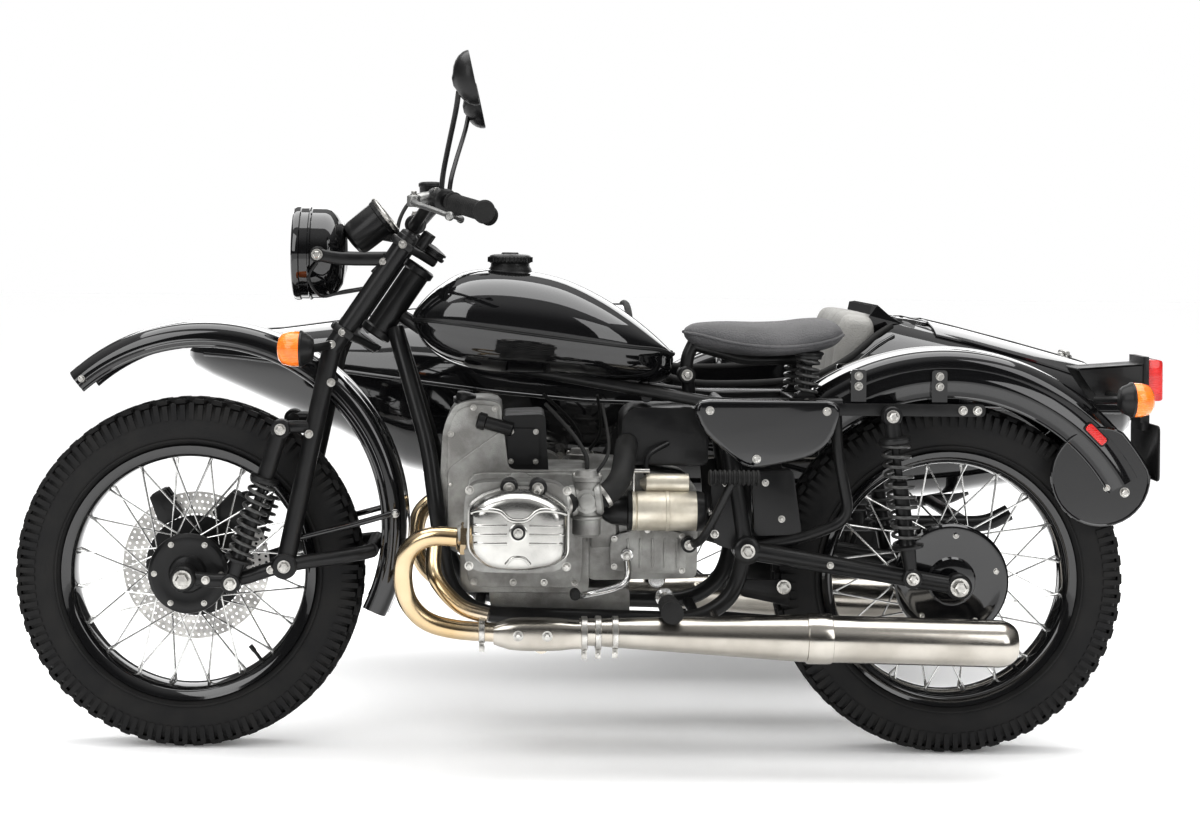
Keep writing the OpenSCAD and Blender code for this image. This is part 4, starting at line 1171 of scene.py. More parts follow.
# Fuel tank: two deep-drawn steel halves in black enamel, welded along a raised bead at their
# widest line, with a knee dent below it and a ribbed black cap on a filler ring.
tank_stations = [
    (1060, 864, 851, 838, 66), (1045, 884, 852, 806, 98), (1015, 912, 851, 776, 124),
    (965, 941, 846, 754, 142), (900, 949, 838, 744, 150), (830, 944, 829, 741, 150),
    (760, 928, 820, 737, 144), (690, 896, 811, 731, 130), (630, 858, 803, 726, 108),
    (580, 818, 797, 724, 80), (550, 789, 786, 740, 52)]


def stations_between(stations, steps):
    """More stations, on smooth curves through the given ones."""
    points = [Vector(s) for s in stations]
    return [tuple(p) for p in curve_through(points, steps)]


def hull_ring(station, roundness, sides, grow=0.0, y=0.0, wide=None):
    """One ring of a lofted body, flatter or rounder by its exponent."""
    x, top, mid, low, half = station
    ring = []
    for k in range(sides):
        a = math.tau * k / sides
        q = power(math.sin(a), 2 / roundness)
        rise = (top - mid if q > 0 else mid - low) + grow
        out = (half + grow) * power(math.cos(a), 2 / roundness)
        if wide:
            out = wide(x, q, out)
        ring.append((x, y + out, mid + rise * q))
    return ring


def tank_swell(x, q, out):
    """Draws the lower skirt in below the bead, and lets the upper half roll inwards."""
    if q < -0.12:
        return out * (1 - 0.055 * min(1, (-q - 0.12) / 0.2))
    return out


tank = Skin()
shape = stations_between(tank_stations, 4)
front_nose = [(1063, 858, 851, 845, 34)]
back_nose = [(546, 776, 772, 764, 22)]
tank.rings([hull_ring(s, 2.45, 64, wide=tank_swell) for s in front_nose + shape + back_nose])
bead = Skin()
for s in (-1, 1):
    route = []
    for x, top, mid, low, half in shape:
        route.append((x, s * (half - 0.5), mid - 2))
    bead.tube([(route[0][0] + 1, s * 40, route[0][2])] + route + [(546, s * 26, 784)], 4.2, 10,
              0, flat=0.8)
cap = Skin()
top_z = 948
cap.lathe((871, 0, 0), (0, 0, 1), [
    (top_z - 8, 44), (top_z + 2, 42), (top_z + 6, 39), (top_z + 12, 38), (top_z + 14, 41),
    (top_z + 17, 43), (top_z + 24, 43), (top_z + 28, 40), (top_z + 30, 33), (top_z + 31, 18),
    (top_z + 34, 16), (top_z + 34.5, 1)], 48)
knurl = Skin()
knurl.tube([(871 + 42.5, 0, top_z + 15), (871 + 42.5, 0, top_z + 25)], 2.4, 6)
knurling = repeated(knurl.mesh("knurl", [satin]), 36, satin, (871, 0, 950), (0, 0, 1),
                    math.tau / 36)
piece("fuel_tank_shell", joined("tank", tank.mesh("shell", [enamel], sharp=50)),
      "motorcycle", ["fuel_tank"])
piece("fuel_tank_seam", bead.mesh("seam", [satin], sharp=60), "motorcycle")
piece("fuel_tank_cap", joined("cap", cap.mesh("lid", [satin], sharp=35), knurling),
      "motorcycle")


# Engine: a flat twin's crankcase cast in light alloy, with the timing case bolted on in
# front, a ribbed oil pan below and a stud flange for each cylinder.
alloy = finish("cast_alloy", (0.40, 0.40, 0.385), 0.40, 0.75, second=(0.24, 0.235, 0.225),
               cloud=18, grain=420, bump=0.35, depth=0.0006, spread=0.18, dust=0.05)
polished = finish("polished_alloy", (0.60, 0.595, 0.57), 0.17, 1.0, second=(0.44, 0.435, 0.42),
                  cloud=14, grain=300, bump=0.03, spread=0.1)


def carried(name, shape, body, stands_for=()):
    """A piece made of one or more meshes that are joined first."""
    meshes = shape if isinstance(shape, (list, tuple)) else [shape]
    return piece(name, joined(name, *meshes), body, stands_for)


def rounded_outline(corners, cut):
    """An outline's corners, each cut back and rounded by a short arc of four points."""
    found = []
    count = len(corners)
    for i, c in enumerate(corners):
        p = Vector(c)
        a, b = Vector(corners[i - 1]), Vector(corners[(i + 1) % count])
        reach = [min(cut, (q - p).length * 0.45) for q in (a, b)]
        start = p + (a - p).normalized() * reach[0]
        stop = p + (b - p).normalized() * reach[1]
        for t in (0, 0.33, 0.67, 1):
            found.append(tuple((1 - t) ** 2 * start + 2 * t * (1 - t) * p + t * t * stop))
    return found


case = Skin()
case.plate(rounded_outline([(712, 320), (964, 320), (964, 420), (990, 440), (990, 560),
                            (880, 640), (870, 560), (712, 560)], 14), -98, 98)
case.plate(rounded_outline([(884, 392), (984, 396), (1006, 440), (1006, 520), (1000, 640),
                            (980, 684), (940, 696), (884, 692)], 22), -90, 90)
case.plate(rounded_outline([(632, 258), (900, 258), (908, 330), (632, 330)], 12), -88, 88)
case.plate(rounded_outline([(726, 334), (950, 334), (950, 556), (726, 556)], 30), -118, 118)
case_mesh = case.mesh("case", [alloy], bevel=7, segments=3)
face_plate = Skin()


def case_side():
    face_plate.plate(rounded_outline([(892, 520), (990, 520), (990, 632), (972, 676),
                                      (936, 686), (892, 684)], 16), 88, 95)
    face_plate.lathe((850, 98, 475), left_way, [(0, 80), (34, 80), (38, 76), (38, 40)], 40)


both_sides(case_side, face_plate)
for k in range(9):
    x = 650 + k * 30
    face_plate.box((x, -86, 250), (x + 5, 86, 262))
plugs_and_shade_block = Skin()
plugs_and_shade_block.lathe((958, 40, 684), (-0.2, 0.15, 1), [(0, 24), (8, 25), (9, 20), (20, 19), (22, 8)], 24)
plugs_and_shade_block.lathe((932, 92, 656), (-1, 0.08, -0.28), [(0, 14), (3, 17), (16, 17), (18, 13), (70, 13),
                                                (72, 9)], 24)
# A black satin cover with four screws on each side, over the case's top between the cylinders: its
# black is painted shade for the hollow under the tank.
plugs_and_shade_block.plate(rounded_outline([(792, 545), (884, 545), (884, 664), (800, 668)], 12), -90, 90)
plugs_and_shade_block.plate(rounded_outline([(812, 570), (872, 570), (872, 640), (812, 640)], 12), -97, 97)
case_bolts = []
for s in (-1, 1):
    for x, z in ((898, 528), (984, 530), (984, 628), (940, 680), (898, 678)):
        case_bolts.append(((x, s * 95, z), (0, s, 0), 4.6))
    for x, z in ((818, 576), (866, 576), (818, 634), (866, 634)):
        case_bolts.append(((x, s * 97, z), (0, s, 0), 4))
    for k in range(6):
        a = math.tau * k / 6 + 0.3
        case_bolts.append(((850 + 68 * math.cos(a), s * 136, 475 + 68 * math.sin(a)),
                           (0, s, 0), 6))
    for x in (740, 800, 860, 936):
        case_bolts.append(((x, s * 118, 344), (0, s, 0), 5))
carried("engine_case", [case_mesh, face_plate.mesh("sides", [alloy], bevel=1.8),
                        plugs_and_shade_block.mesh("plugs_and_shade_block", [satin], sharp=30), bolts(case_bolts)],
        "motorcycle", ["engine_crankcase"])


# Cylinders: finned barrels and heads of cast alloy, one on each side, pulled to the case by
# four long studs. The fins are thin plates of one outline.
barrel = (850, 475)


def squircle(x, z, wide, tall, exponent, sides=40):
    """A rounded square outline in the side view."""
    return [(x + wide * power(math.cos(math.tau * k / sides), 2 / exponent),
             z + tall * power(math.sin(math.tau * k / sides), 2 / exponent))
            for k in range(sides)]


jug = Skin()


def jug_side():
    jug.lathe((barrel[0], 130, barrel[1]), left_way, [(0, 60), (116, 60)], 40)
    jug.plate(squircle(barrel[0], barrel[1], 78, 66, 5), 244, 316)
    jug.lathe((962, 292, 453), (-1, 0, 0.15), [(0, 24), (20, 26), (70, 30)], 24)
    jug.lathe((768, 258, 508), (1, 0.15, 0), [(-10, 24), (0, 26), (40, 30)], 24)
    jug.plate(squircle(barrel[0], barrel[1] - 4, 26, 90, 4, 24), 130, 150)


both_sides(jug_side, jug)
fins = []
for s in (-1, 1):
    thin, wide_fin = Skin(), Skin()
    thin.plate(squircle(barrel[0], barrel[1], 80, 76, 3.4), s * 142, s * 145)
    wide_fin.plate(squircle(barrel[0] + 6, barrel[1] + 2, 96, 84, 5.5), s * 250, s * 253.4)
    fins.append(repeated(thin.mesh("fin", [alloy]), 9, alloy, shift=(0, s * 11.6, 0)))
    fins.append(repeated(wide_fin.mesh("head_fin", [alloy]), 6, alloy, shift=(0, s * 11.4, 0)))
stud_places = [((barrel[0] + x, s * 309, barrel[1] + z), (0, s, 0), 6)
               for s in (-1, 1) for x in (-88, 92) for z in (-70, 70)]
stud_places += [((x, s * 327, 551), (0, s, 0), 8) for s in (-1, 1) for x in (816, 869)]
caps = Skin()


def cap_side():
    for x in (816, 869):
        caps.lathe((x, 288, 551), left_way, [(0, 12), (4, 17), (36, 17), (40, 15), (40, 11),
                                             (38, 10)], 28)


both_sides(cap_side, caps)
carried("finned_cylinders", [jug.mesh("jugs", [alloy], bevel=3), *fins,
                             caps.mesh("caps", [satin], sharp=35), bolts(stud_places)],
        "motorcycle", ["cylinders"])


# Rocker covers: polished alloy, held by one centre bolt on a dark washer. A raised scroll
# runs across the face, with three ribs below it.
covers = Skin()
trims = Skin()


cover_face = rounded_outline([
    (90, 42), (62, 62), (22, 74), (-22, 74), (-58, 61), (-91, 38), (-91, -50), (-62, -67),
    (-12, -75), (40, -73), (64, -66), (90, -40)], 13)


def cover_side():
    covers.rings([[(852 + x * w, y, 478 + z * w) for x, z in cover_face] for y, w in (
        (315, 1.0), (316, 1.035), (324, 1.035), (325, 1), (352, 0.99), (366, 0.96),
        (376, 0.92), (383, 0.86), (387, 0.79), (389, 0.7), (389.6, 0.5), (390, 0.1))])
    scroll = [(852 + x, y, 478 + z) for x, y, z in (
        (84, 368, 33), (66, 384, 40), (44, 389, 40), (30, 390, 36), (16, 390.5, 24),
        (0, 390.5, 21), (-16, 390.5, 24), (-30, 390, 36), (-44, 389, 41), (-66, 384, 39),
        (-86, 368, 32))]
    covers.tube(scroll, 4.6, 10, 5)
    for z, reach in ((12, 72), (-4, 74), (-20, 70)):
        covers.tube([(852 - reach - 8, 378, 478 + z), (852 - reach, 386, 478 + z),
                     (852 - 20, 389.5, 478 + z)], 3.2, 8, 3)
        covers.tube([(852 + 20, 389.5, 478 + z), (852 + reach, 386, 478 + z),
                     (852 + reach + 8, 378, 478 + z)], 3.2, 8, 3)
    covers.tube([(852 + 22, 389, 478 - 58), (852 + 10, 390, 478 - 46), (852 - 10, 390, 478 - 46),
                 (852 - 22, 389, 478 - 58)], 3, 8, 4)
    covers.lathe((852, 386, 478), left_way, [(0, 18), (5, 17), (6.5, 14)], 32)
    trims.lathe((852, 392, 478), left_way, [(0, 13), (3, 13), (4, 11), (4.2, 4)], 28)


both_sides(cover_side, covers, trims)
carried("rocker_cover_castings", [
    covers.mesh("covers", [polished], sharp=50), trims.mesh("washers", [satin]),
    bolts([((852, s * 395, 478), (0, s, 0), 6.5) for s in (-1, 1)])],
    "motorcycle", ["rocker_covers"])


# Gearbox: a cast alloy case behind the engine, whose sides taper to the rear. Its covers are
# screwed on, and the starter lies along its upper left edge.
box_skin = Skin()
box_skin.plate(rounded_outline([(502, 350), (716, 345), (716, 560), (640, 562), (520, 548),
                                (500, 520)], 16), -93, 93)
box_skin.lathe((655, 0, 470), forward, [(0, 100), (6, 110), (52, 112), (58, 108), (62, 112)], 48)
box_skin.lathe((466, -96, 430), forward, [(0, 24), (4, 30), (56, 30), (64, 36)], 28)


def gear_side():
    box_skin.plate(rounded_outline([(524, 360), (672, 366), (672, 434), (600, 452), (524, 440)],
                                   18), 90, 107)
    box_skin.plate(rounded_outline([(508, 470), (640, 474), (640, 544), (520, 536)], 14), 90, 99)
    for k in range(5):
        box_skin.box((540 + k * 24, 104, 372), (544 + k * 24, 110, 430))


both_sides(gear_side, box_skin)
gear_bolts = [((x, s * y, z), (0, s, 0), 4.4) for s in (-1, 1) for x, y, z in (
    (532, 107, 368), (664, 107, 374), (664, 107, 428), (532, 107, 434), (600, 107, 446),
    (516, 99, 478), (632, 99, 482), (632, 99, 538), (526, 99, 530))]
carried("gearbox_case", [box_skin.mesh("gearbox", [alloy], bevel=4), bolts(gear_bolts)],
        "motorcycle", ["gearbox"])
can_steel = finish("starter_steel", (0.70, 0.66, 0.57), 0.34, 0.75, second=(0.54, 0.50, 0.42),
                   cloud=22, grain=500, bump=0.08, spread=0.16)
starter = Skin()
starter.lathe((494, 128, 486), forward, [
    (4, 30), (6, 36), (10, 38), (128, 38), (130, 36), (132, 38), (138, 38), (140, 30)], 40)
starter.lathe((520, 116, 538), forward, [(0, 12), (2, 19), (84, 19), (88, 12), (96, 6)], 28)
starter.lathe((560, 128, 486), forward, [(0, 38), (1, 39), (7, 39), (8, 38)], 40)
starter_end = Skin()
starter_end.lathe((484, 128, 486), forward, [(2, 12), (4, 28), (10, 37), (22, 39), (24, 38)], 40)
starter_end.lathe((632, 128, 486), forward, [
    (0, 36), (1, 39), (8, 39), (10, 30), (16, 29), (40, 26), (52, 20), (60, 12)], 40)
terminal = Skin()
terminal.tube([(646, 128, 563), (598, 128, 563)], 4.5, 14)
terminal.tube([(629, 128, 563), (629, 128, 522)], 3.6, 12)
starter_end.tube([(604, 118, 554), (600, 112, 590), (560, 84, 612)], 5, 10, 5)
carried("starter", [starter.mesh("motor", [can_steel], sharp=32),
                    starter_end.mesh("end", [satin], sharp=32),
                    terminal.mesh("terminal", [bright], sharp=40),
                    bolts([((484, 128 + 20 * y, 486 + 20 * z), (-1, 0, 0), 4)
                           for y, z in ((1, 0), (-1, 0))])],
        "motorcycle", ["starter_motor"])


# Intake: a black air box over the gearbox and a slide carburettor at each cylinder, joined
# by rubber elbows with bright clips.
airbox = Skin()
airbox.plate(rounded_outline([(480, 568), (650, 568), (650, 664), (628, 682), (500, 682),
                              (480, 660)], 14), -80, 80)
elbows = Skin()
carb = Skin()
clips = Skin()


def intake_side():
    elbows.tube([(790, 266, 508), (776, 250, 509), (758, 226, 512), (738, 206, 514)], 20, 20, 5)
    elbows.tube([(700, 205, 520), (676, 196, 532), (656, 180, 558), (646, 130, 590),
                 (640, 78, 610)], 22, 20, 5)
    carb.lathe((754, 205, 512), (-1, 0, 0.13), [(0, 26), (3, 31), (12, 31), (14, 28), (46, 28),
                                                (48, 32), (58, 32), (62, 27)], 32)
    carb.lathe((722, 205, 446), (0, 0, 1), [(0, 8), (1, 22), (6, 27), (34, 27), (36, 30), (40, 30),
                                            (42, 24), (104, 24), (106, 28), (114, 28), (116, 22),
                                            (126, 18), (128, 6)], 32)
    carb.lathe((722, 176, 516), left_way, [(0, 12), (2, 23), (56, 23), (58, 16), (64, 15),
                                           (66, 8)], 28)
    for c, way, r in (((768, 238, 510), (-0.75, -0.62, 0.1), 22),
                      ((690, 203, 524), (-0.8, -0.2, 0.55), 24)):
        clips.lathe(c, way, [(-4, r), (-4, r + 1.6), (4, r + 1.6), (4, r)], 28, whole=True)
    elbows.tube([(722, 205, 572), (724, 205, 600), (750, 180, 640), (800, 120, 690)], 4, 8, 6)
    elbows.tube([(705, 205, 566), (680, 190, 610), (690, 120, 690)], 3.4, 8, 6)


both_sides(intake_side, elbows, carb, clips)
carried("air_box_and_elbows", [airbox.mesh("airbox", [satin], bevel=5),
                               elbows.mesh("elbows", [grip_rubber], sharp=40)],
        "motorcycle", ["intake"])
carried("carburettors", [carb.mesh("carbs", [alloy], sharp=32),
                         clips.mesh("clips", [bright], sharp=40),
                         bolts([((722 + x, s * 205, 562), (0, 0, 1), 3.6)
                                for s in (-1, 1) for x in (-24, 24)])],
        "motorcycle")


# Exhaust: stainless header pipes, tinted straw by heat, that run down from each head into a
# cast clamp box, then a long cone and a plain silencer with a band round it.
def heat_tint(material, hot, cold, x_hot, x_cold):
    """Blends a metal's colour from one end of the piece to the other."""
    tree = material.node_tree
    shader = tree.nodes["Principled BSDF"]
    place = new_node(tree, "ShaderNodeTexCoord")
    split = new_node(tree, "ShaderNodeSeparateXYZ")
    reach = new_node(tree, "ShaderNodeMapRange", {"From Min": x_cold, "From Max": x_hot})
    ramp = new_node(tree, "ShaderNodeValToRGB")
    ramp.color_ramp.elements[0].color = (*cold, 1)
    ramp.color_ramp.elements[1].color = (*hot, 1)
    between = ramp.color_ramp.elements.new(0.5)
    between.color = (0.60, 0.43, 0.22, 1)
    mix = new_node(tree, "ShaderNodeMix", {"Factor": 0.75}, data_type="RGBA")
    old = shader.inputs["Base Color"].links[0].from_socket
    connect(tree, (place, "Object", split, "Vector"), (split, "X", reach, "Value"),
         (reach, "Result", ramp, "Fac"))
    link(tree, old, mix.inputs["A"])
    connect(tree, (ramp, "Color", mix, "B"), (mix, "Result", shader, "Base Color"))


stainless = finish("stainless", (0.54, 0.515, 0.47), 0.16, 1.0, second=(0.42, 0.395, 0.355),
                   cloud=11, grain=700, bump=0.03, spread=0.1)
header_steel = finish("header_steel", (0.66, 0.60, 0.50), 0.15, 1.0, second=(0.56, 0.48, 0.36),
                      cloud=16, grain=500, bump=0.03, spread=0.12)
heat_tint(header_steel, (0.66, 0.52, 0.33), (0.66, 0.62, 0.56), at(1066, 0, 0).x, at(880, 0, 0).x)
pipes, clamp_box, bands, silencer = Skin(), Skin(), Skin(), Skin()


def exhaust_side():
    pipes.tube([(935, 292, 452), (1010, 288, 456), (1052, 280, 432), (1066, 270, 388),
                (1058, 262, 334), (1024, 254, 294), (966, 248, 276), (872, 245, 270)],
               18, 28, 8)
    pipes.lathe((946, 292, 453), (1, 0, 0.05), [(0, 26), (2, 30), (12, 30), (14, 24), (20, 20)], 6)
    pipes.tube([(906, 236, 300), (960, 226, 316), (1008, 200, 366), (1012, 150, 420)], 15, 20, 6)
    clamp_box.rings([
        [(x, 245 + 31 * power(math.cos(math.tau * k / 24), 0.6) * w,
          268 + 30 * power(math.sin(math.tau * k / 24), 0.6) * w) for k in range(24)]
        for x, w in ((896, 0.62), (888, 0.72), (866, 0.94), (840, 1), (800, 1), (770, 0.96),
                     (746, 0.86), (730, 0.86))])
    for x, z, r in ((918, 274, 21), (726, 270, 30), (700, 271, 30), (668, 272, 29)):
        bands.lathe((x, 245, z), forward, [(-6, r - 2), (-6, r), (-5, r + 2), (5, r + 2), (6, r),
                                           (6, r - 2)], 28, whole=True)
        bands.box((x - 5, 240, z - r - 18), (x + 5, 250, z - r + 2))
    silencer.lathe((690, 245, 272), (-1, 0, -0.02), [
        (-46, 25), (0, 26), (12, 27), (370, 44), (380, 44), (381, 46.5), (384, 47.5), (424, 47.5),
        (427, 46.5), (428, 44), (742, 44), (752, 43), (762, 39.5), (770, 34), (775, 28),
        (776, 22), (772, 20), (764, 20), (700, 18)], 56)
    silencer.tube([(474, 215, 285), (474, 116, 290)], 8, 12)


both_sides(exhaust_side, pipes, clamp_box, bands, silencer)
pipes.tube([(806, -220, 240), (806, 220, 240)], 14, 20)
exhaust_bolts = [((x, s * 276.5, 270), (0, s, 0), 7) for s in (-1, 1) for x in (796, 850)]
exhaust_bolts += [((x, s * 251, z), (0, s, 0), 4) for s in (-1, 1)
                  for x, z in ((918, 244), (726, 232), (700, 233), (668, 235))]
carried("exhaust_pipes", [pipes.mesh("pipes", [header_steel], sharp=40),
                          clamp_box.mesh("box", [stainless], sharp=40),
                          bands.mesh("bands", [bright], sharp=40), bolts(exhaust_bolts)],
        "motorcycle", ["exhaust_headers"])
carried("silencers", silencer.mesh("silencers", [stainless], sharp=28), "motorcycle",
        ["mufflers"])


# Frame: welded round tube in satin black, a cradle under the engine with a head tube, seat
# rails and flat rear rails. The swinging arm carries the rear wheel on a bush through it.
def bends(route, reach=46, steps=6):
    """A route of straight runs with each corner bent round a short curve."""
    points = [Vector(p) for p in route]
    found = [points[0]]
    for i in range(1, len(points) - 1):
        p = points[i]
        cut = [min(reach, (q - p).length * 0.45) for q in (points[i - 1], points[i + 1])]
        start = p + (points[i - 1] - p).normalized() * cut[0]
        stop = p + (points[i + 1] - p).normalized() * cut[1]
        for k in range(steps + 1):
            t = k / steps
            found.append((1 - t) ** 2 * start + 2 * t * (1 - t) * p + t * t * stop)
    return found + [points[-1]]


frame_skin = Skin()
frame_skin.lathe(steer(0, 0, -175), stem_way, [(0, 28), (3, 32), (14, 32), (18, 27), (147, 27),
                                               (151, 32), (162, 32), (165, 28)], 36)


def frame_side():
    r = 110
    frame_skin.tube(bends([
        tuple(steer(-26, 16, -140)), (1027, 80, 598), (1007, r, 461), (985, r, 330),
        (926, r, 280), (502, r, 272), (432, r, 318), (409, r, 412), (455, r - 10, 690)]),
        16, 20)
    frame_skin.tube(bends([tuple(steer(-26, 16, -112)), (960, 48, 772), (600, 54, 712),
                           (455, r - 10, 690), (224, r, 694)]), 12, 16)
    frame_skin.plate(rounded_outline([(-52, 672), (330, 672), (330, 696), (-52, 696)], 9),
                     r + 4, r + 12)
    frame_skin.tube(bends([(236, r, 690), (232, r, 600), (206, r, 470), (300, r, 432),
                           (409, r, 412)], 40), 11, 16)
    frame_skin.lathe((409, r - 16, 412), left_way, [(0, 24), (3, 27), (22, 27), (25, 24)], 32)
    frame_skin.lathe((133, r + 8, 674), left_way, [(0, 14), (36, 14), (38, 10)], 24)
    # Footrest bracket, battery tray and the brackets behind the gearbox
    frame_skin.plate(rounded_outline([(396, 398), (470, 420), (480, 560), (440, 566),
                                      (400, 470)], 10), r - 4, r + 4)
    frame_skin.plate(rounded_outline([(300, 440), (392, 436), (398, 560), (318, 566)], 10),
                     r - 34, r + 2)
    frame_skin.plate(rounded_outline([(320, 300), (420, 320), (420, 352), (330, 352)], 9),
                     r - 6, r + 2)


both_sides(frame_side, frame_skin)
for x, z in ((926, 280), (502, 272), (455, 690), (600, 700)):
    reach = 110 if z < 650 else 98 if x < 500 else 54
    frame_skin.tube([(x, -reach, z), (x, reach, z)], 11, 16)
frame_bolts = []
for s in (-1, 1):
    frame_bolts += [((x, s * 122, 684), (0, s, 0), 6.5) for x in (-36, -8)]
    frame_bolts += [((133, s * 154, 674), (0, s, 0), 9), ((300, s * 122, 684), (0, s, 0), 5),
                    ((336, s * 122, 340), (0, s, 0), 10), ((448, s * 114, 540), (0, s, 0), 6),
                    ((470, s * 114, 440), (0, s, 0), 6), ((340, s * 112, 470), (0, s, 0), 5),
                    ((372, s * 112, 540), (0, s, 0), 5)]
carried("frame_tubes", [frame_skin.mesh("tubes", [satin], bevel=1.5, corner=70, sharp=40),
                        bolts(frame_bolts)],
        "motorcycle", ["frame"])
arm = Skin()


def arm_side():
    arm.tube([(409, 130, 412), (206, 128, 378), (0, 126, 345)], [19, 17, 16], 24, 4)
    arm.lathe((409, 117, 412), left_way, [(0, 22), (2, 26), (28, 26), (31, 22), (32, 12)], 32)
    arm.lathe((0, 110, 345), left_way, [(0, 22), (2, 25), (28, 25), (32, 22), (33, 12)], 32)
    arm.lathe((92, 118, 362), left_way, [(0, 12), (2, 16), (32, 16), (34, 12)], 24)


both_sides(arm_side, arm)
arm.tube([(409, -124, 412), (409, 124, 412)], 14, 20)
arm_bolts = []
for s in (-1, 1):
    arm_bolts += [((409, s * 148, 412), (0, s, 0), 10), ((0, s * 143, 345), (0, s, 0), 13),
                  ((92, s * 153, 362), (0, s, 0), 9), ((250, s * 146, 386), (0, s, 0), 5)]
carried("swinging_arm", [arm.mesh("arm", [satin], sharp=32), bolts(arm_bolts)], "motorcycle",
        ["rear_swingarm"])
rear_low, rear_top = (92, 138, 362), (133, 138, 674)
carried("rear_shock_absorbers",
        [shock(low, top, 0.2, 0.84, 29, 10) for low, top in
         ((rear_low, rear_top), (on_right(rear_low), on_right(rear_top)))],
        "motorcycle", ["rear_shocks"])
drive = Skin()
drive.lathe((0, -66, 345), (0, -1, 0), [(1, 50), (2, 70), (14, 74), (16, 90), (20, 92), (36, 92),
                                        (40, 88), (44, 60), (46, 40), (46, 14)], 48)
drive.tube([(60, -96, 355), (372, -96, 402)], 20, 24)
drive.tube([(360, -96, 400), (400, -96, 409), (470, -96, 428)], [26, 31, 29], 24)
drive_bolts = [((80 * math.cos(a), -107, 345 + 80 * math.sin(a)), (0, -1, 0), 5)
               for a in [math.tau * k / 8 for k in range(8)]]
carried("final_drive_case", [drive.mesh("drive", [satin], sharp=30), bolts(drive_bolts)],
        "motorcycle", ["final_drive"])


# Side covers: pressed steel, painted gloss black, one on each side under the saddle. Each is
# held by two chromed screws.
cover_shape = rounded_outline([(520, 704), (504, 646), (424, 578), (398, 572), (290, 595),
                               (250, 628), (228, 704)], 34)
panels = Skin()
both_sides(lambda: panels.plate(cover_shape, 126, 167), panels)
cover_screws = [((x, s * 168, z), (0, s, 0), 6) for s in (-1, 1)
                for x, z in ((486, 684), (262, 684), (396, 592))]
carried("side_cover_panels", [panels.mesh("panels", [enamel], bevel=9, corner=50, segments=4),
                              bolts(cover_screws, sides=16, height=0.5)],
        "motorcycle", ["side_covers"])


# Saddle: a solo seat of grained black hide over foam and a steel pan, sewn round its edge. It
# rocks on a hinge in front and on two coil springs behind.
hide = finish("grained_hide", (0.060, 0.060, 0.063), 0.5, second=(0.095, 0.094, 0.097),
              cloud=9, grain=330, bump=0.75, depth=0.0011, spread=0.12, dust=0.12)
saddle_stations = [
    (523, 833, 826, 818, 20), (512, 840, 825, 806, 40), (495, 845, 823, 798, 52),
    (440, 848, 811, 786, 88), (385, 847, 805, 781, 112), (330, 849, 805, 783, 126),
    (280, 855, 811, 789, 130), (240, 855, 820, 800, 118), (219, 842, 827, 815, 84)]


def plumped(name, mesh, material, most, held, voxel=0.005, crown=4.0):
    """Remeshes a closed cushion and blows it up as cloth, with no point moved beyond most mm.

    held(point) says, in mm, which points are sewn down.
    """
    thing = bpy.data.objects.new(name, mesh)
    scene.collection.objects.link(thing)
    even = thing.modifiers.new("even", "REMESH")
    even.mode = "VOXEL"
    even.voxel_size = voxel
    seen_now = thing.evaluated_get(bpy.context.evaluated_depsgraph_get())
    thing.data = bpy.data.meshes.new_from_object(seen_now)
    thing.modifiers.clear()
    rest = [v.co.copy() for v in thing.data.vertices]
    sewn = thing.vertex_groups.new(name="sewn")
    sewn.add([i for i, p in enumerate(rest)
              if held(p.x * 1000 + 659.5, p.y * 1000 - 383, p.z * 1000)], 1, "REPLACE")
    cloth = thing.modifiers.new("cloth", "CLOTH")
    cloth.settings.use_pressure = True
    cloth.settings.uniform_pressure_force = crown
    cloth.settings.vertex_group_mass = "sewn"
    cloth.settings.effector_weights.gravity = 0
    cloth.point_cache.frame_start = 1
    cloth.point_cache.frame_end = 20
    for frame_number in range(1, 21):
        scene.frame_set(frame_number)
    blown = thing.evaluated_get(bpy.context.evaluated_depsgraph_get()).to_mesh()
    moved = [v.co.copy() for v in blown.vertices]
    thing.modifiers.clear()
    for v, a, b in zip(thing.data.vertices, rest, moved):
        step = b - a
        v.co = a + step * min(1, most / 1000 / max(step.length, 1e-9))
    scene.frame_set(1)
    finer = thing.modifiers.new("finer", "SUBSURF")
    finer.levels = finer.render_levels = 1
    thing.data.shade_smooth()
    thing.data.materials.clear()
    thing.data.materials.append(material)
    return thing


seat_skin = Skin()
dense = stations_between(saddle_stations, 5)
seat_skin.rings([hull_ring(s, 2.6, 44) for s in dense])


def saddle_held(x, y, z):
    """The hide is sewn along its lower edge and dimpled by two rows of stitching."""
    low = min(dense, key=lambda s: abs(s[0] - x))
    return z < low[2] + 2 or abs(abs(y) - low[4] * 0.62) < 3.2 and x < 420


saddle = plumped("rider_saddle_hide", seat_skin.mesh("hide", [hide]), hide, 5, saddle_held)
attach(saddle, "motorcycle")
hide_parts("rider_saddle")
welt = Skin()
rim_line = [(s[0], s[4] * 1.005, s[2]) for s in dense]
welt.tube(rim_line + [(x, -y, z) for x, y, z in reversed(rim_line)], 3.2, 10)
piece("saddle_welt", welt.mesh("welt", [hide], sharp=60), "motorcycle")
mount = Skin()
mount.tube(bends([(512, 0, 704), (520, 0, 770), (500, 0, 812)], 26), 13, 20)
mount.tube(bends([(500, 0, 800), (400, 0, 772), (300, 0, 775)], 30), 12, 20)
mount.plate(rounded_outline([(268, 690), (318, 690), (318, 704), (268, 704)], 4), -112, 112)
mount.lathe((518, -22, 742), left_way, [(0, 15), (3, 18), (41, 18), (44, 15)], 28)
for y in (-86, 86):
    mount.lathe((286, y, 786), (0, 0, 1), [(0, 26), (2, 29), (6, 29), (9, 22)], 32)
mount_bolts = [((518, s * 23, 742), (0, s, 0), 8) for s in (-1, 1)]
mount_bolts += [((293, s * 112, 697), (0, s, 0), 5.5) for s in (-1, 1)]
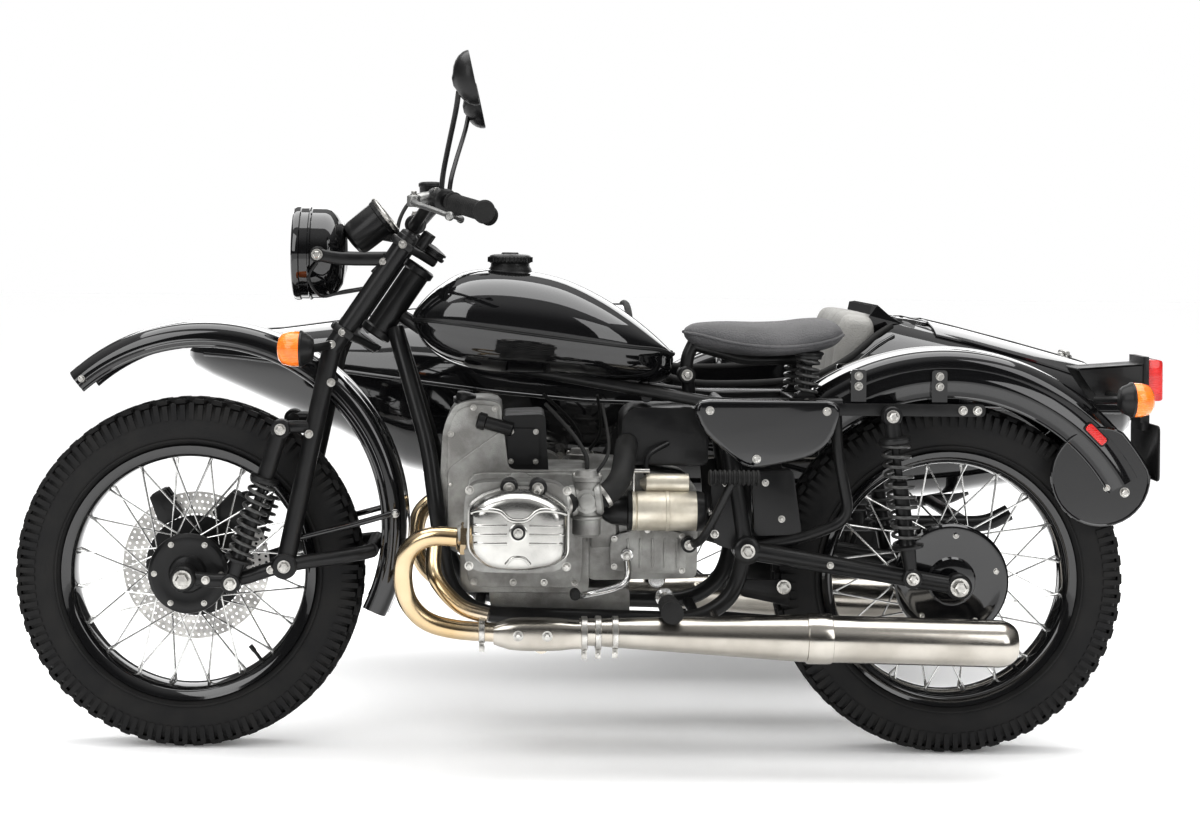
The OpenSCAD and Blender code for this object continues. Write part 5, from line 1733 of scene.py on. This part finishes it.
carried("saddle_hinge_and_springs",
        [mount.mesh("mount", [satin], bevel=1, corner=60),
         *[shock((292, y, 702), (286, y, 786), 0.04, 0.96, 24, 5, 9) for y in (-86, 86)],
         bolts(mount_bolts)],
        "motorcycle", ["saddle_mount"])


# Rear fender: rolled steel, painted gloss black, with a ridge on its crown, a bead along each
# side and a round tail. Two flat brackets bolt it to the seat rails.
rear_centre = (12, 0, 348)
blade = fender(rear_centre, 450, 84, 92, 50, 151, bead=4, ridge=3)


def fender_side():
    tail = []
    for k in range(40):
        p = Vector((-286 + 95 * math.cos(math.tau * k / 40), 0,
                    554 + 95 * math.sin(math.tau * k / 40)))
        away = p - Vector(rear_centre)
        p = Vector(rear_centre) + away * min(1, 447 / away.length)
        tail.append((p.x, p.z))
    blade.plate(tail, 80.5, 84)
    blade.tube([(x, 83, z) for x, z in tail + tail[:1]], 3.4, 8)
    for x in (32, 190):
        blade.plate(rounded_outline([(x - 15, 672), (x + 15, 672), (x + 15, 760),
                                     (x - 15, 760)], 6), 86, 96)
        blade.box((x - 12, 92, 676), (x + 12, 114, 692))


both_sides(fender_side, blade)
fender_bolts = [((x, s * 96, z), (0, s, 0), 6) for s in (-1, 1)
                for x in (32, 190) for z in (728, 748)]
fender_bolts += [((x, s * 84, z), (0, s, 0), r) for s in (-1, 1)
                 for x, z, r in ((-333, 524, 7), (-298, 532, 5))]
carried("rear_fender_blade", [blade.mesh("rear_blade", [enamel], sharp=32), bolts(fender_bolts)],
        "motorcycle", ["rear_fender"])


# Rear lamps: a square red tail lamp on a black bracket, an amber signal on the left and a
# narrow red reflector on the fender's left flank.
tail_body, tail_red = Skin(), Skin()
tail_body.box((-390, -48, 690), (-379, 48, 787))
tail_body.box((-379, -30, 704), (-362, 30, 770))
tail_body.tube([(-312, 0, 710), (-312, 160, 711)], 8, 16)
for y in (-46, 43):
    tail_body.plate(rounded_outline([(-250, 762), (-380, 772), (-380, 696), (-330, 690),
                                     (-296, 694)], 8), y, y + 3)
tail_body.plate(rounded_outline([(-250, 759), (-250, 763), (-380, 773), (-380, 769)], 1.5),
                -46, 46)
tail_body.box((-390, -36, 655), (-378, 36, 700))
tail_red.rings([[(x, y * w, 729 + (z - 729) * w) for y, z in (
    (-41, 699), (41, 699), (41, 781), (-41, 781))]
    for x, w in ((-388, 1), (-412, 0.99), (-419, 0.95), (-421.5, 0.84))])
rear_bodies, rear_lenses = Skin(), Skin()
signal(rear_bodies, rear_lenses, (-317, 170, 711), (-1, 0, 0),
       [(-306, 168, 711), (-298, 140, 708), (-276, 88, 704)], 33, 44)
for skin, wide, tall, out in ((tail_body, 11, 27, 87), (tail_red, 8.5, 24, 90)):
    skin.plate([(-276 + (x + z) * 0.7071, 637 + (z - x) * 0.7071) for x, z in rounded_outline(
        [(-wide, -tall), (wide, -tall), (wide, tall), (-wide, tall)], 6)], 84, out)
carried("tail_lamp_body", [tail_body.mesh("tail_body", [satin], bevel=2),
                           rear_bodies.mesh("rear_bodies", [satin], sharp=32),
                           bolts([((-421, y, 740), (-1, 0, 0), 3) for y in (-30, 30)],
                                 sides=12, height=0.4)],
        "motorcycle")
carried("tail_lamp_red_lenses", tail_red.mesh("tail_red", [lens_red], bevel=3, segments=3),
        "motorcycle", ["rear_lamps"])
carried("rear_signal_lens", rear_lenses.mesh("rear_lenses", [amber], sharp=60), "motorcycle")


# Plate holder: a blank pressed plate with a rolled border, on a bracket under the tail lamp.
holder = Skin()
holder.rings([[(x, y, z) for y, z in rounded_outline([(-w, 600 - h), (w, 600 - h), (w, 600 + h),
                                                      (-w, 600 + h)], 12)]
              for x, w, h in ((-395.5, 91, 54), (-397, 92, 55), (-400, 91, 54), (-400, 86, 49),
                              (-398.6, 84, 47))])
holder.box((-396, -34, 640), (-382, 34, 700))
carried("blank_plate_and_bracket",
        [holder.mesh("holder", [satin], bevel=1),
         bolts([((-399, y, 644), (-1, 0, 0), 4.5) for y in (-50, 50)])],
        "motorcycle", ["plate_holder"])


# Foot controls: ribbed rubber footrests on steel pegs, a rocking gear lever and a kick lever
# on the left, and the brake pedal on the right.
treads, pedals = Skin(), Skin()


def footrest():
    pedals.lathe((566, 104, 316), (0, 1, 0.03), [(0, 15), (4, 18), (16, 18), (20, 12), (210, 11)],
                 24)
    treads.lathe((566, 212, 319), (0, 1, 0.03), [
        (2 + 8 * k + d, r) for k in range(12) for d, r in ((0, 17), (1.5, 20), (5, 20), (6.5, 17))
    ] + [(100, 21), (105, 21), (106, 16)], 28)


both_sides(footrest, treads, pedals)
pedals.mark = 1
pedals.tube([(520, 100, 420), (498, 168, 440), (452, 206, 540), (440, 214, 562)], 8, 14, 6)
pedals.lathe((520, 104, 420), left_way, [(0, 15), (22, 15), (24, 10)], 24)
pedals.mark = 0
treads.lathe((493, 214, 561), (-1, 0, 0), [
    (1 + 9 * k + d, r) for k in range(11) for d, r in ((0, 12), (2, 15), (5, 15), (7, 12))], 24)
pedals.tube([(640, 106, 398), (646, 150, 350), (720, 170, 330), (742, 214, 338)], 7, 14, 6)
pedals.lathe((640, 104, 398), left_way, [(0, 12), (16, 12), (18, 8)], 24)
treads.lathe((743, 196, 338), left_way, [(0, 8), (3, 10), (30, 10), (33, 7)], 20)
pedals.tube([(600, -106, 398), (606, -140, 340), (640, -152, 330), (712, -160, 322)], 7, 14, 6)
pedals.lathe((600, -104, 398), (0, -1, 0), [(0, 12), (16, 12), (18, 8)], 24)
treads.box((694, -196, 324), (746, -140, 332))
for k in range(5):
    treads.box((699 + 10 * k, -194, 332), (703 + 10 * k, -142, 335))
carried("footrest_rubbers", treads.mesh("treads", [grip_rubber], sharp=40), "motorcycle")
carried("levers_and_pedals", [pedals.mesh("pedals", [spoke_steel, satin], sharp=40),
                              bolts([((640, 122, 398), (0, 1, 0), 6),
                                     ((520, 128, 420), (0, 1, 0), 7),
                                     ((600, -122, 398), (0, -1, 0), 6)])],
        "motorcycle", ["foot_controls"])


# Sidecar chassis: two long rails of round tube with bent-up ends, four cross tubes and four
# struts to the motorcycle, each with a clamped eye.
car_y = -700
chassis = Skin()
for y in (-478, -928):
    chassis.tube(bends([(1010, y, 420), (930, y, 384), (-190, y, 384), (-240, y, 410)], 30),
                 18, 24)
for x in (880, 575, 95, -150):
    chassis.tube([(x, -928, 381), (x, -478, 381)], 14, 20)
for x in (570, 95):
    for y in (-478, -928):
        chassis.lathe((x, y, 384), (0, 0, 1), [(0, 20), (26, 20), (29, 17)], 24)
struts = [((990, -478, 412), (1054, -58, 690), 13), ((850, -478, 387), (926, -112, 282), 15),
          ((140, -478, 386), (444, -112, 312), 15), ((30, -478, 388), (232, -112, 640), 12)]
strut_bolts = []
for low, top, r in struts:
    low, top = Vector(low), Vector(top)
    way = (top - low).normalized()
    chassis.tube([low, top], r, 20)
    for end, turn in ((low, way), (top, -way)):
        chassis.lathe(end + turn * 4, turn, [(0, r), (2, r + 6), (30, r + 6), (34, r)], 24)
        strut_bolts.append((end + turn * 20 + Vector((r + 5, 0, 0)), (1, 0, 0), 6))
chassis.tube([(560, -928, 384), (560, -1046, 384)], 16, 24)
chassis.tube(bends([(330, -923, 388), (330, -1004, 470), (352, -1004, 650)], 30), 13, 20)
chassis.box((330, -1040, 632), (372, -1000, 664))
carried("sidecar_frame_tubes", [chassis.mesh("chassis", [satin], sharp=38),
                                bolts(strut_bolts)],
        "motorcycle", ["sidecar_chassis"])


# Sidecar body: a boat of pressed steel panels, gloss black outside and satin inside, with a
# rolled bead round the cockpit and a raised moulding along each flank.
def panel_mesh(name, node, materials, inside=None):
    """A CAD node's own shape with its corners joined, smooth where the panel is smooth."""
    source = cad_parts[node]
    work = bmesh.new()
    work.from_mesh(source.data)
    bmesh.ops.remove_doubles(work, verts=work.verts, dist=0.00002)
    bmesh.ops.recalc_face_normals(work, faces=work.faces)
    for face in work.faces:
        middle = face.calc_center_median()
        face.material_index = 0
        if inside and inside(middle.y * 1000 - 383 - car_y, middle.z * 1000, face.normal):
            face.material_index = 1
    made = bpy.data.meshes.new(name)
    work.to_mesh(made)
    work.free()
    made.materials.clear()
    for material in materials:
        made.materials.append(material)
    made.shade_smooth()
    made.set_sharp_from_angle(angle=math.radians(24))
    return made


def is_lining(side, z, normal):
    """True for a face of the tub that looks inwards."""
    if z < 500 and normal.z > 0.5 or z > 640 and normal.z < -0.6:
        return True
    return abs(normal.y) > 0.3 and side * normal.y < 0


lining = finish("lining_paint", (0.012, 0.012, 0.013), 0.55, second=(0.02, 0.02, 0.02),
                cloud=8, grain=300, bump=0.3, spread=0.1, dust=0.25)
car_stations = [
    (1612, 745, 737, 728, 12), (1595, 768, 738, 706, 48), (1549, 784, 738, 682, 95),
    (1480, 792, 735, 652, 135), (1402, 797, 728, 618, 170), (1250, 818, 712, 555, 218),
    (1100, 844, 695, 474, 250), (900, 858, 672, 432, 278), (700, 860, 655, 425, 292),
    (500, 860, 650, 415, 298), (250, 858, 650, 415, 298), (0, 846, 650, 420, 290),
    (-150, 812, 645, 432, 276), (-300, 774, 640, 455, 255), (-430, 739, 635, 490, 225),
    (-500, 716, 632, 540, 190), (-525, 700, 632, 570, 165)]


def car_section(x):
    """The body's top, widest height, bottom and half width at x."""
    for a, b in zip(car_stations, car_stations[1:]):
        if b[0] <= x <= a[0]:
            t = (a[0] - x) / (a[0] - b[0])
            return [p + (q - p) * t for p, q in zip(a[1:], b[1:])]
    return car_stations[0][1:] if x > 0 else car_stations[-1][1:]


def car_side(x, z):
    """Half the body's width at x and a height above its widest line."""
    top, mid, _, half = car_section(x)
    q = min(1, abs(z - mid) / (top - mid))
    return half * (1 - q ** 2.7) ** (1 / 2.7)


rim = [(20, 820), (60, 800), (94, 776), (128, 752), (200, 716), (300, 700), (440, 696),
       (510, 706), (556, 724), (588, 756), (602, 800)]
rim = stations_between(rim, 4)
rim_left = [(x, car_side(x, z), z) for x, z in rim]
hood_top = car_section(604)[0]
hood = [(604, car_side(604, z), z) for z in [800 + (hood_top - 800) * math.sin(math.pi / 2 * k / 9)
                                            for k in range(1, 10)]]
half_rim = rim_left + hood
whole_rim = [(x, car_y + y, z) for x, y, z in half_rim]
whole_rim += [(x, car_y - y, z) for x, y, z in reversed(half_rim[:-1])]
trim = Skin()
trim.tube(whole_rim, 7.5, 14)
beads = Skin()
for s in (-1, 1):
    low_bead = [(x, car_y + s * (car_side(x + 4, z - 20) + 1), z - 20)
                for x, z in [(x, z) for x, z in rim if x < 560]]
    beads.tube(low_bead, 4, 10)
    flank = []
    for k in range(61):
        x = 1570 - k * 34.4
        top, mid, _, half = car_section(x)
        flank.append((x, car_y + s * (half + 0.5), mid))
    beads.tube(flank, 5, 10, flat=0.8)
carried("sidecar_shell", panel_mesh("tub", "sidecar_body", [enamel, lining], is_lining),
        "motorcycle", ["sidecar_body"])
carried("sidecar_rim_trim", trim.mesh("rim", [grip_rubber], sharp=60), "motorcycle")
carried("sidecar_beads", [beads.mesh("beads", [enamel], sharp=60)], "motorcycle")


# Trunk lid: one pressed panel in the same paint, hinged in front, with a chromed handle that
# turns its latch.
handle = Skin()
handle.lathe((-418, car_y, 742), (-0.25, 0, 1), [(0, 16), (3, 18), (8, 17), (12, 10)], 28)
handle.tube([(-418, car_y - 34, 754), (-418, car_y - 20, 756), (-418, car_y + 20, 756),
             (-418, car_y + 34, 754)], [5, 6.5, 6.5, 5], 14, 4)
carried("trunk_lid_panel", [panel_mesh("lid", "sidecar_trunk_lid", [enamel]),
                            handle.mesh("handle", [polished], sharp=40)],
        "trunk_lid", ["sidecar_trunk_lid"])


# Passenger seat: grey vinyl over foam, sewn in upright channels, on a base in the tub and
# against the bulkhead.
vinyl = finish("grey_vinyl", (0.30, 0.295, 0.28), 0.5, second=(0.22, 0.215, 0.205),
               cloud=6, grain=260, bump=0.5, depth=0.0009, spread=0.1, dust=0.1)


def pad_rings(low, high, axis, corner, steps, dip):
    """Rings of a crowned pad between two corners, along an axis, with sewn channels."""
    others = [i for i in range(3) if i != axis]
    middle = [(a + b) / 2 for a, b in zip(low, high)]
    half = [(b - a) / 2 for a, b in zip(low, high)]
    rings = []
    for k in range(steps + 1):
        t = -1 + 2 * k / steps
        pinch = (1 - abs(t) ** 6) ** 0.5 if abs(t) < 1 else 0.0
        groove = dip * abs(math.cos(math.pi * (t * 2.5 + 0.5))) ** 0.5
        ring = []
        for n in range(44):
            a = math.tau * n / 44
            p = [0, 0, 0]
            p[axis] = middle[axis] + half[axis] * t
            for j, c in zip(others, (math.cos(a), math.sin(a))):
                reach = half[j] - corner * (1 - pinch) - dip + groove
                p[j] = middle[j] + reach * power(c, 0.42)
            ring.append(tuple(p))
        rings.append(ring)
    return rings


seat_places = (("sidecar_seat_pad", "sidecar_seat_cushion", (184, -912, 470), (512, -488, 583)),
               ("sidecar_seat_back_pad", "sidecar_seat_back", (70, -908, 590), (168, -492, 852)))
for name, node, low, high in seat_places:
    pad = Skin()
    pad.rings(pad_rings(low, high, 1, 24, 60, 5))
    seam_y = [low[1] + (high[1] - low[1]) * (k + 0.5) / 5 for k in range(-1, 6)]

    def seat_held(x, y, z, low=low, high=high, seams=tuple(seam_y)):
        return z < low[2] + 6 or x < low[0] + 6 or min(abs(y - s) for s in seams) < 3

    soft = plumped(name, pad.mesh(name, [vinyl]), vinyl, 5, seat_held, 0.006)
    if node == "sidecar_seat_back":
        lean = Matrix.Translation(at(118, 0, 610)) @ Matrix.Rotation(math.radians(-7), 4, "Y")
        soft.data.transform(lean @ Matrix.Translation(-at(118, 0, 610)))
    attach(soft, "motorcycle")
    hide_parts(node)


# Sidecar suspension: a trailing arm of steel tube on a pivot, with its own coil-over unit and
# the stub axle that the wheel turns on.
car_arm = Skin()
car_arm.tube([(560, -1040, 384), (400, -1040, 366), (246, -1040, 345)], [19, 17, 17], 24, 4)
car_arm.lathe((560, -1026, 384), (0, -1, 0), [(0, 22), (3, 26), (26, 26), (29, 22)], 32)
car_arm.lathe((246, -1020, 345), (0, -1, 0), [(0, 20), (3, 25), (36, 25), (40, 20), (42, 10),
                                              (190, 10), (192, 8)], 32)
car_arm.lathe((306, -1024, 372), (0, -1, 0), [(0, 14), (28, 14), (30, 10)], 24)
carried("sidecar_swinging_arm", [
    car_arm.mesh("car_arm", [satin], sharp=34),
    shock((306, -1038, 376), (352, -1038, 645), 0.2, 0.84, 27, 9),
    bolts([((560, -1056, 384), (0, -1, 0), 10), ((246, -1213, 345), (0, -1, 0), 9)])],
    "motorcycle", ["sidecar_suspension"])


# Sidecar fender: the same rolled section as the rear fender, held by two stays and a bracket.
car_blade = fender((246, 0, 345), 405, 85, 62, 8, 172, y=-1140, bead=4, ridge=3)
car_blade.tube([(352, -1004, 655), (352, -1020, 700), (352, -1057, 716)], 8, 14, 4)
stay_bolts = []
for degrees in (30, 150):
    a = math.radians(degrees)
    x, z = 246 + 385 * math.cos(a), 345 + 385 * math.sin(a)
    car_blade.tube([(x, -972, z), (x, -1058, z)], 8, 14)
    car_blade.plate(rounded_outline([(x - 18, z - 18), (x + 18, z - 18), (x + 18, z + 18),
                                     (x - 18, z + 18)], 8), -1058, -1052)
    stay_bolts += [((x, -970, z), (0, 1, 0), 7), ((x, -1226, z), (0, -1, 0), 6)]
carried("sidecar_fender_blade", [car_blade.mesh("car_blade", [enamel], sharp=32),
                                 bolts(stay_bolts)],
        "motorcycle", ["sidecar_fender"])


# Sidecar lamps: an amber marker in front of the fender and a red lamp behind it, each in a
# black housing.
car_bodies, car_amber, car_red = Skin(), Skin(), Skin()
car_bodies.lathe((532, -1140, 612), forward, [(0, 16), (4, 22), (24, 26), (29, 29), (33, 29),
                                              (34, 26)], 36)
car_amber.lathe((560, -1140, 612), forward, [(2, 26), (6, 28), (20, 27.5), (30, 22), (35, 12),
                                             (36, 1)], 36)
car_bodies.box((-174, -1178, 470), (-140, -1102, 552))
car_red.rings([[(x, -1140 + y * w, 514 + z * w) for y, z in ((-36, -33), (36, -33), (36, 33),
                                                            (-36, 33))]
               for x, w in ((-172, 1), (-188, 0.98), (-194, 0.9), (-196, 0.76))])
carried("sidecar_lamp_bodies", car_bodies.mesh("car_bodies", [satin], bevel=2.5, corner=50),
        "motorcycle", ["sidecar_lamps"])
carried("sidecar_front_lens", car_amber.mesh("car_amber", [amber], sharp=60), "motorcycle")
carried("sidecar_rear_lens", car_red.mesh("car_red", [lens_red], bevel=3, segments=3),
        "motorcycle")
